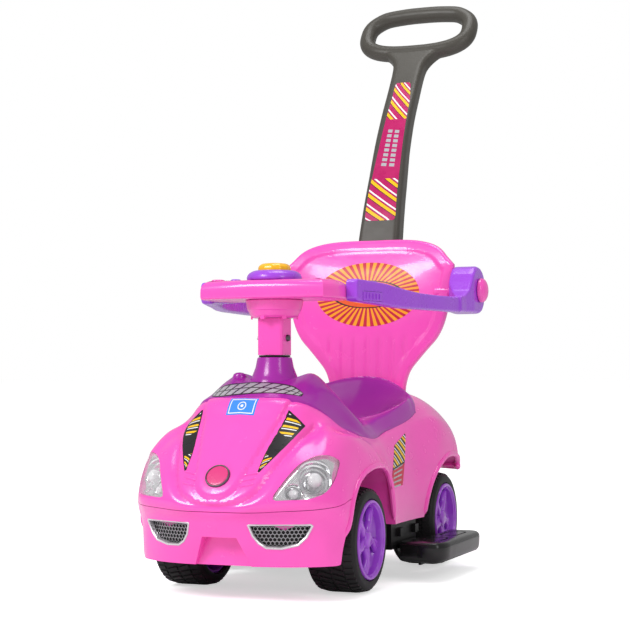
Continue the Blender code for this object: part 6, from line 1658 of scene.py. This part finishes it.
def layered(name, base, layers):
    """A glossy film: base colour, then (mask, colour) layers, which layers gives for the UV parts."""
    material, tree, shader = new_material(name)
    parts = tree.nodes.new("ShaderNodeSeparateXYZ")
    tree.links.new(coordinates(tree, "UV"), parts.inputs["Vector"])
    clouds = noise(tree, coordinates(tree), 60.0, 3.0)
    colour = clouded(tree, clouds, base, 0.05)
    for mask, over in layers(tree, parts.outputs["X"], parts.outputs["Y"]):
        mix = tree.nodes.new("ShaderNodeMix")
        mix.data_type = "RGBA"
        tree.links.new(mask, mix.inputs["Factor"])
        tree.links.new(colour, mix.inputs[6])
        mix.inputs[7].default_value = (*over, 1)
        colour = mix.outputs[2]
    tree.links.new(colour, shader.inputs["Base Color"])
    tree.links.new(spread(tree, clouds, 0.24, 0.34), shader.inputs["Roughness"])
    shader.inputs["Specular IOR Level"].default_value = 0.25
    tree.links.new(bump(tree, noise(tree, coordinates(tree), 300.0), 0.00001), shader.inputs["Normal"])
    return material


def stick(item, body_name):
    item.data.transform(Matrix.Translation((0, CAR_Y, 0)))
    item.data.shade_smooth()
    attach(item, body_name)
    return item


def ribbon(lows, highs, across=6, along=5):
    """Rows of places between two lines given in millimetres, filled in evenly."""
    low = smooth_line(lows, across) * MM
    high = smooth_line(highs, across) * MM
    return [low + (high - low) * (k / along) for k in range(along + 1)]


def band_layers(tree, u, v):
    inner = both(tree, between(tree, u, 2.5, 140.0), between(tree, v, 1.6, 17.2))
    block = both(tree, inner, bars(tree, u, v, -0.25, 12.6, 0.76))
    return [(block, LABEL_GREY), (both(tree, block, between(tree, v, 8.6, 10.0)), INK)]


BAND_Z = 300
BAND_FRONT = [(-57, -64), (-46, -72), (-32, -74), (-14, -71), (7.6, -67), (33.5, -63), (55, -58),
              (67, -50)]
BAND_BACK = [(-68.6, -26), (-53, -27), (-34, -22.5), (-10, -18), (20, -23), (44, -31), (57, -36),
             (66, -40)]
band_rows = ribbon(*([(x, y, BAND_Z) for x, y in line] for line in (BAND_FRONT, BAND_BACK)), 8, 10)
stick(sheet("band_sticker", SADDLE_SURFACE, band_rows, FILM, layered("band_film", INK, band_layers),
            (0, 142), (0, 19), (0, 0, -1)), "car")


def dagger_layers(tree, u, v):
    bolt = bars(tree, u, v, 0.7, 11.0, 0.30)
    spark = bars(tree, u, v, 0.7, 11.0, 0.14, 0.55)
    ends = either(tree, between(tree, u, 3.0, 32.0), between(tree, u, 66.0, 88.0))
    wide = both(tree, between(tree, v, 2.5, 17.0), ends)
    return [(both(tree, bolt, wide), AMBER), (both(tree, spark, wide), WHITE)]


dagger_film = layered("dagger_film", INK, dagger_layers)
INNER_EDGE = [(62, -82, 245), (58, -110, 222), (52, -136, 194), (50, -157, 166)]
OUTER_EDGE = [(86, -80, 224), (78, -110, 206), (65, -136, 186), (51.5, -157, 165.5)]
for name, sign in (("dagger_sticker_left", 1), ("dagger_sticker_right", -1)):
    rows = ribbon(*([(sign * x, y, z) for x, y, z in line] for line in (INNER_EDGE, OUTER_EDGE)), 8, 8)
    stick(sheet(name, SURFACE, rows, FILM, dagger_film, (0, 96), (0, 20)), "car")


def label_layers(tree, u, v):
    edge = both(tree, between(tree, u, -17.5, 17.5), between(tree, v, -10.0, 10.0))
    inner = both(tree, between(tree, u, -16.3, 16.3), between(tree, v, -8.8, 8.8))
    rim = figure(tree, "SUBTRACT", edge, inner)
    radius = far_from(tree, u, v)
    ring = between(tree, radius, 4.4, 5.6)
    dot = figure(tree, "LESS_THAN", radius, 1.8)
    return [(rim, WHITE), (ring, WHITE), (dot, WHITE)]


label_rows = [[(x * MM, y * MM, z * MM) for x in np.linspace(-20, 20, 15)]
              for y, z in zip(np.linspace(-79, -98, 10), np.linspace(256, 236, 10))]
stick(sheet("label_sticker", SURFACE, label_rows, FILM, layered("label_film", BLUE, label_layers),
            (-20, 20), (12, -12)), "car")


def side_layers(tree, u, v):
    low = figure(tree, "LESS_THAN", v, 0.42)
    high = figure(tree, "GREATER_THAN", v, 0.46)
    bolt = both(tree, bars(tree, v, u, 0.55, 0.17, 0.34), high)
    spark = both(tree, bars(tree, v, u, 0.55, 0.17, 0.16, 0.5), high)
    lines = both(tree, bars(tree, v, u, 0.0, 0.10, 0.35), both(tree, low, between(tree, u, 0.15, 0.85)))
    return [(low, CRIMSON), (bolt, AMBER), (spark, WHITE), (lines, LABEL_GREY)]


side_film = layered("side_film", INK, side_layers)
SIDE_CORNERS = np.array(((100, 130), (156, 132), (195, 204), (143, 188)))
SIDE_X = 0.14
for name, sign in (("side_sticker_left", 1), ("side_sticker_right", -1)):
    rows = []
    for t in np.linspace(0, 1, 14):
        start = SIDE_CORNERS[0] + (SIDE_CORNERS[3] - SIDE_CORNERS[0]) * t
        end = SIDE_CORNERS[1] + (SIDE_CORNERS[2] - SIDE_CORNERS[1]) * t
        rows.append([(sign * SIDE_X, *((start + (end - start) * s) * MM))
                     for s in np.linspace(0, 1, 12)])
    stick(sheet(name, SURFACE, rows, FILM, side_film, (0, 1), (0, 1), (-sign, 0, 0)), "car")

BURST_Z = 0.4165
BURST_WIDE = 0.087
BURST_HIGH = 0.0515
BURST_RAYS = 22


def burst_layers(tree, u, v):
    across = figure(tree, "MULTIPLY", u, 1 / BURST_WIDE)
    above = figure(tree, "MULTIPLY_ADD", v, 1 / BURST_HIGH, -BURST_Z / BURST_HIGH)
    angle = figure(tree, "ARCTAN2", above, across)
    turn = figure(tree, "MULTIPLY_ADD", angle, BURST_RAYS / math.pi, 50.0)
    ray = figure(tree, "LESS_THAN", figure(tree, "FRACT", turn), 0.5)
    far = far_from(tree, across, above)
    flat = far_from(tree, across, above, 2.6)
    ovals = ((far, 0.42, FLAME), (flat, 0.70, INK), (flat, 0.65, FLAME_RED), (flat, 0.46, FLAME_YELLOW),
             (flat, 0.30, INK), (flat, 0.24, BADGE_GREY))
    return [(ray, FLAME)] + [(figure(tree, "LESS_THAN", value, limit), colour)
                             for value, limit, colour in ovals]


turns = [2 * math.pi * k / 72 for k in range(72)]
oval = [(BURST_WIDE * math.cos(turn), BURST_Z + BURST_HIGH * math.sin(turn)) for turn in turns]
stick(patch("burst_sticker", BACK_SURFACE, oval, lambda u, v: (u, BACK_Y, v), FILM,
            layered("burst_film", CRIMSON, burst_layers), 0.004, (0, 1, 0)), "car")


def handle_layers(tree, u, v):
    ends = either(tree, figure(tree, "LESS_THAN", v, 72.0), figure(tree, "GREATER_THAN", v, 178.0))
    bolt = both(tree, bars(tree, v, u, 0.8, 24.0, 0.26), ends)
    spark = both(tree, bars(tree, v, u, 0.8, 24.0, 0.13, 0.60), ends)
    dark = both(tree, bars(tree, v, u, 0.8, 24.0, 0.34, 0.06), ends)
    middle = both(tree, between(tree, v, 92.0, 160.0), bars(tree, v, u, 0.1, 8.5, 0.64))
    columns = either(tree, between(tree, u, -11.0, -2.0), between(tree, u, 3.0, 12.0))
    return [(dark, INK), (bolt, AMBER), (spark, WHITE), (both(tree, middle, columns), LABEL_GREY)]


HANDLE_LABEL = [(540, -22, 24), (543, -24.6, 26.4), (547, -25.8, 27), (592, -24.7, 24.5), (663, -18, 23),
                (755, -13, 20), (782, -13, 15), (786, -12.2, 14), (788, -10.5, 12)]
levels, lefts, rights = zip(*HANDLE_LABEL)
rows = []
for z in np.linspace(levels[0], levels[-1], 90):
    ends = np.interp(z, levels, lefts), np.interp(z, levels, rights)
    rows.append([(x * MM, ROD_Y, z * MM) for x in np.linspace(*ends, 10)])
handle_film = layered("handle_film", LABEL_PINK, handle_layers)
stick(sheet("handle_sticker", HANDLE_SURFACE, rows, FILM, handle_film, (-22, 22),
            (0, levels[-1] - levels[0]), (0, 1, 0)), "push_handle")

# Plain pale floor, soft studio light and the photograph's camera
FLOOR_SIZE = 40.0
FLOOR_Z = -0.0004
FLOOR_GLOW = 0.56
AMBIENT = 0.50
BACKDROP = 1.0
PAPER_STOPS = ((0.3, (0.90, 0.90, 0.90)), (0.7, (0.93, 0.93, 0.93)))


def seen_directly(tree):
    """1 for rays from the camera and through clear plastic, 0 for the rest."""
    rays = tree.nodes.new("ShaderNodeLightPath")
    return figure(tree, "MAXIMUM", rays.outputs["Is Camera Ray"], rays.outputs["Is Transmission Ray"])


floor_mesh = bpy.data.meshes.new("studio_floor")
floor_mesh.from_pydata([(a * FLOOR_SIZE, b * FLOOR_SIZE, FLOOR_Z)
                        for a, b in ((-1, -1), (1, -1), (1, 1), (-1, 1))], [], [(0, 1, 2, 3)])
floor = place_object("studio_floor", floor_mesh)
paper, tree, shader = new_material("floor_paper")
grain = noise(tree, coordinates(tree), 30.0, 3.0)
tree.links.new(tint(tree, grain, PAPER_STOPS), shader.inputs["Base Color"])
shader.inputs["Roughness"].default_value = 0.85
shader.inputs["Emission Color"].default_value = (1, 1, 1, 1)
tree.links.new(both(tree, seen_directly(tree), FLOOR_GLOW), shader.inputs["Emission Strength"])
floor_mesh.materials.append(paper)

world = bpy.data.worlds.new("studio")
bpy.context.scene.world = world
world.use_nodes = True
tree = world.node_tree
tree.nodes.clear()
mix = tree.nodes.new("ShaderNodeMixShader")
tree.links.new(seen_directly(tree), mix.inputs["Fac"])
for socket, strength in ((1, AMBIENT), (2, BACKDROP)):
    sky = tree.nodes.new("ShaderNodeBackground")
    sky.inputs["Color"].default_value = (1, 1, 1, 1)
    sky.inputs["Strength"].default_value = strength
    tree.links.new(sky.outputs["Background"], mix.inputs[socket])
output = tree.nodes.new("ShaderNodeOutputWorld")
tree.links.new(mix.outputs["Shader"], output.inputs["Surface"])


def softbox(name, place, target, width, height, power):
    light = bpy.data.lights.new(name, "AREA")
    light.shape = "RECTANGLE"
    light.size = width
    light.size_y = height
    light.energy = power
    item = place_object(name, light)
    item.location = place
    towards = Vector(target) - Vector(place)
    item.rotation_euler = towards.to_track_quat("-Z", "Y").to_euler()


softbox("key_light", (-1.1, -2.2, 1.9), (0, 0, 0.35), 0.9, 0.9, 44)
softbox("fill_light", (2.0, -1.5, 1.3), (0, 0, 0.35), 0.5, 1.6, 13)
softbox("top_light", (0.1, 0.2, 2.6), (0, 0, 0.3), 1.2, 1.2, 20)

CAMERA_PLACE = Vector((0.8609, -1.9843 + CAR_Y, 0.2929))
CAMERA_TARGET = Vector((0.0054, 0.1535 + CAR_Y, 0.3757))
CAMERA_ROLL = -0.18
FOCAL_LENGTH = 90.42
SENSOR_WIDTH = 36.0
lens = bpy.data.cameras.new("camera")
lens.lens = FOCAL_LENGTH
lens.sensor_width = SENSOR_WIDTH
camera = place_object("camera", lens)
turn = (CAMERA_TARGET - CAMERA_PLACE).to_track_quat("-Z", "Y").to_matrix().to_4x4()
camera.matrix_world = (Matrix.Translation(CAMERA_PLACE) @ turn
                       @ Matrix.Rotation(math.radians(CAMERA_ROLL), 4, "Z"))
bpy.context.scene.camera = camera
bpy.context.scene.view_settings.view_transform = "Standard"
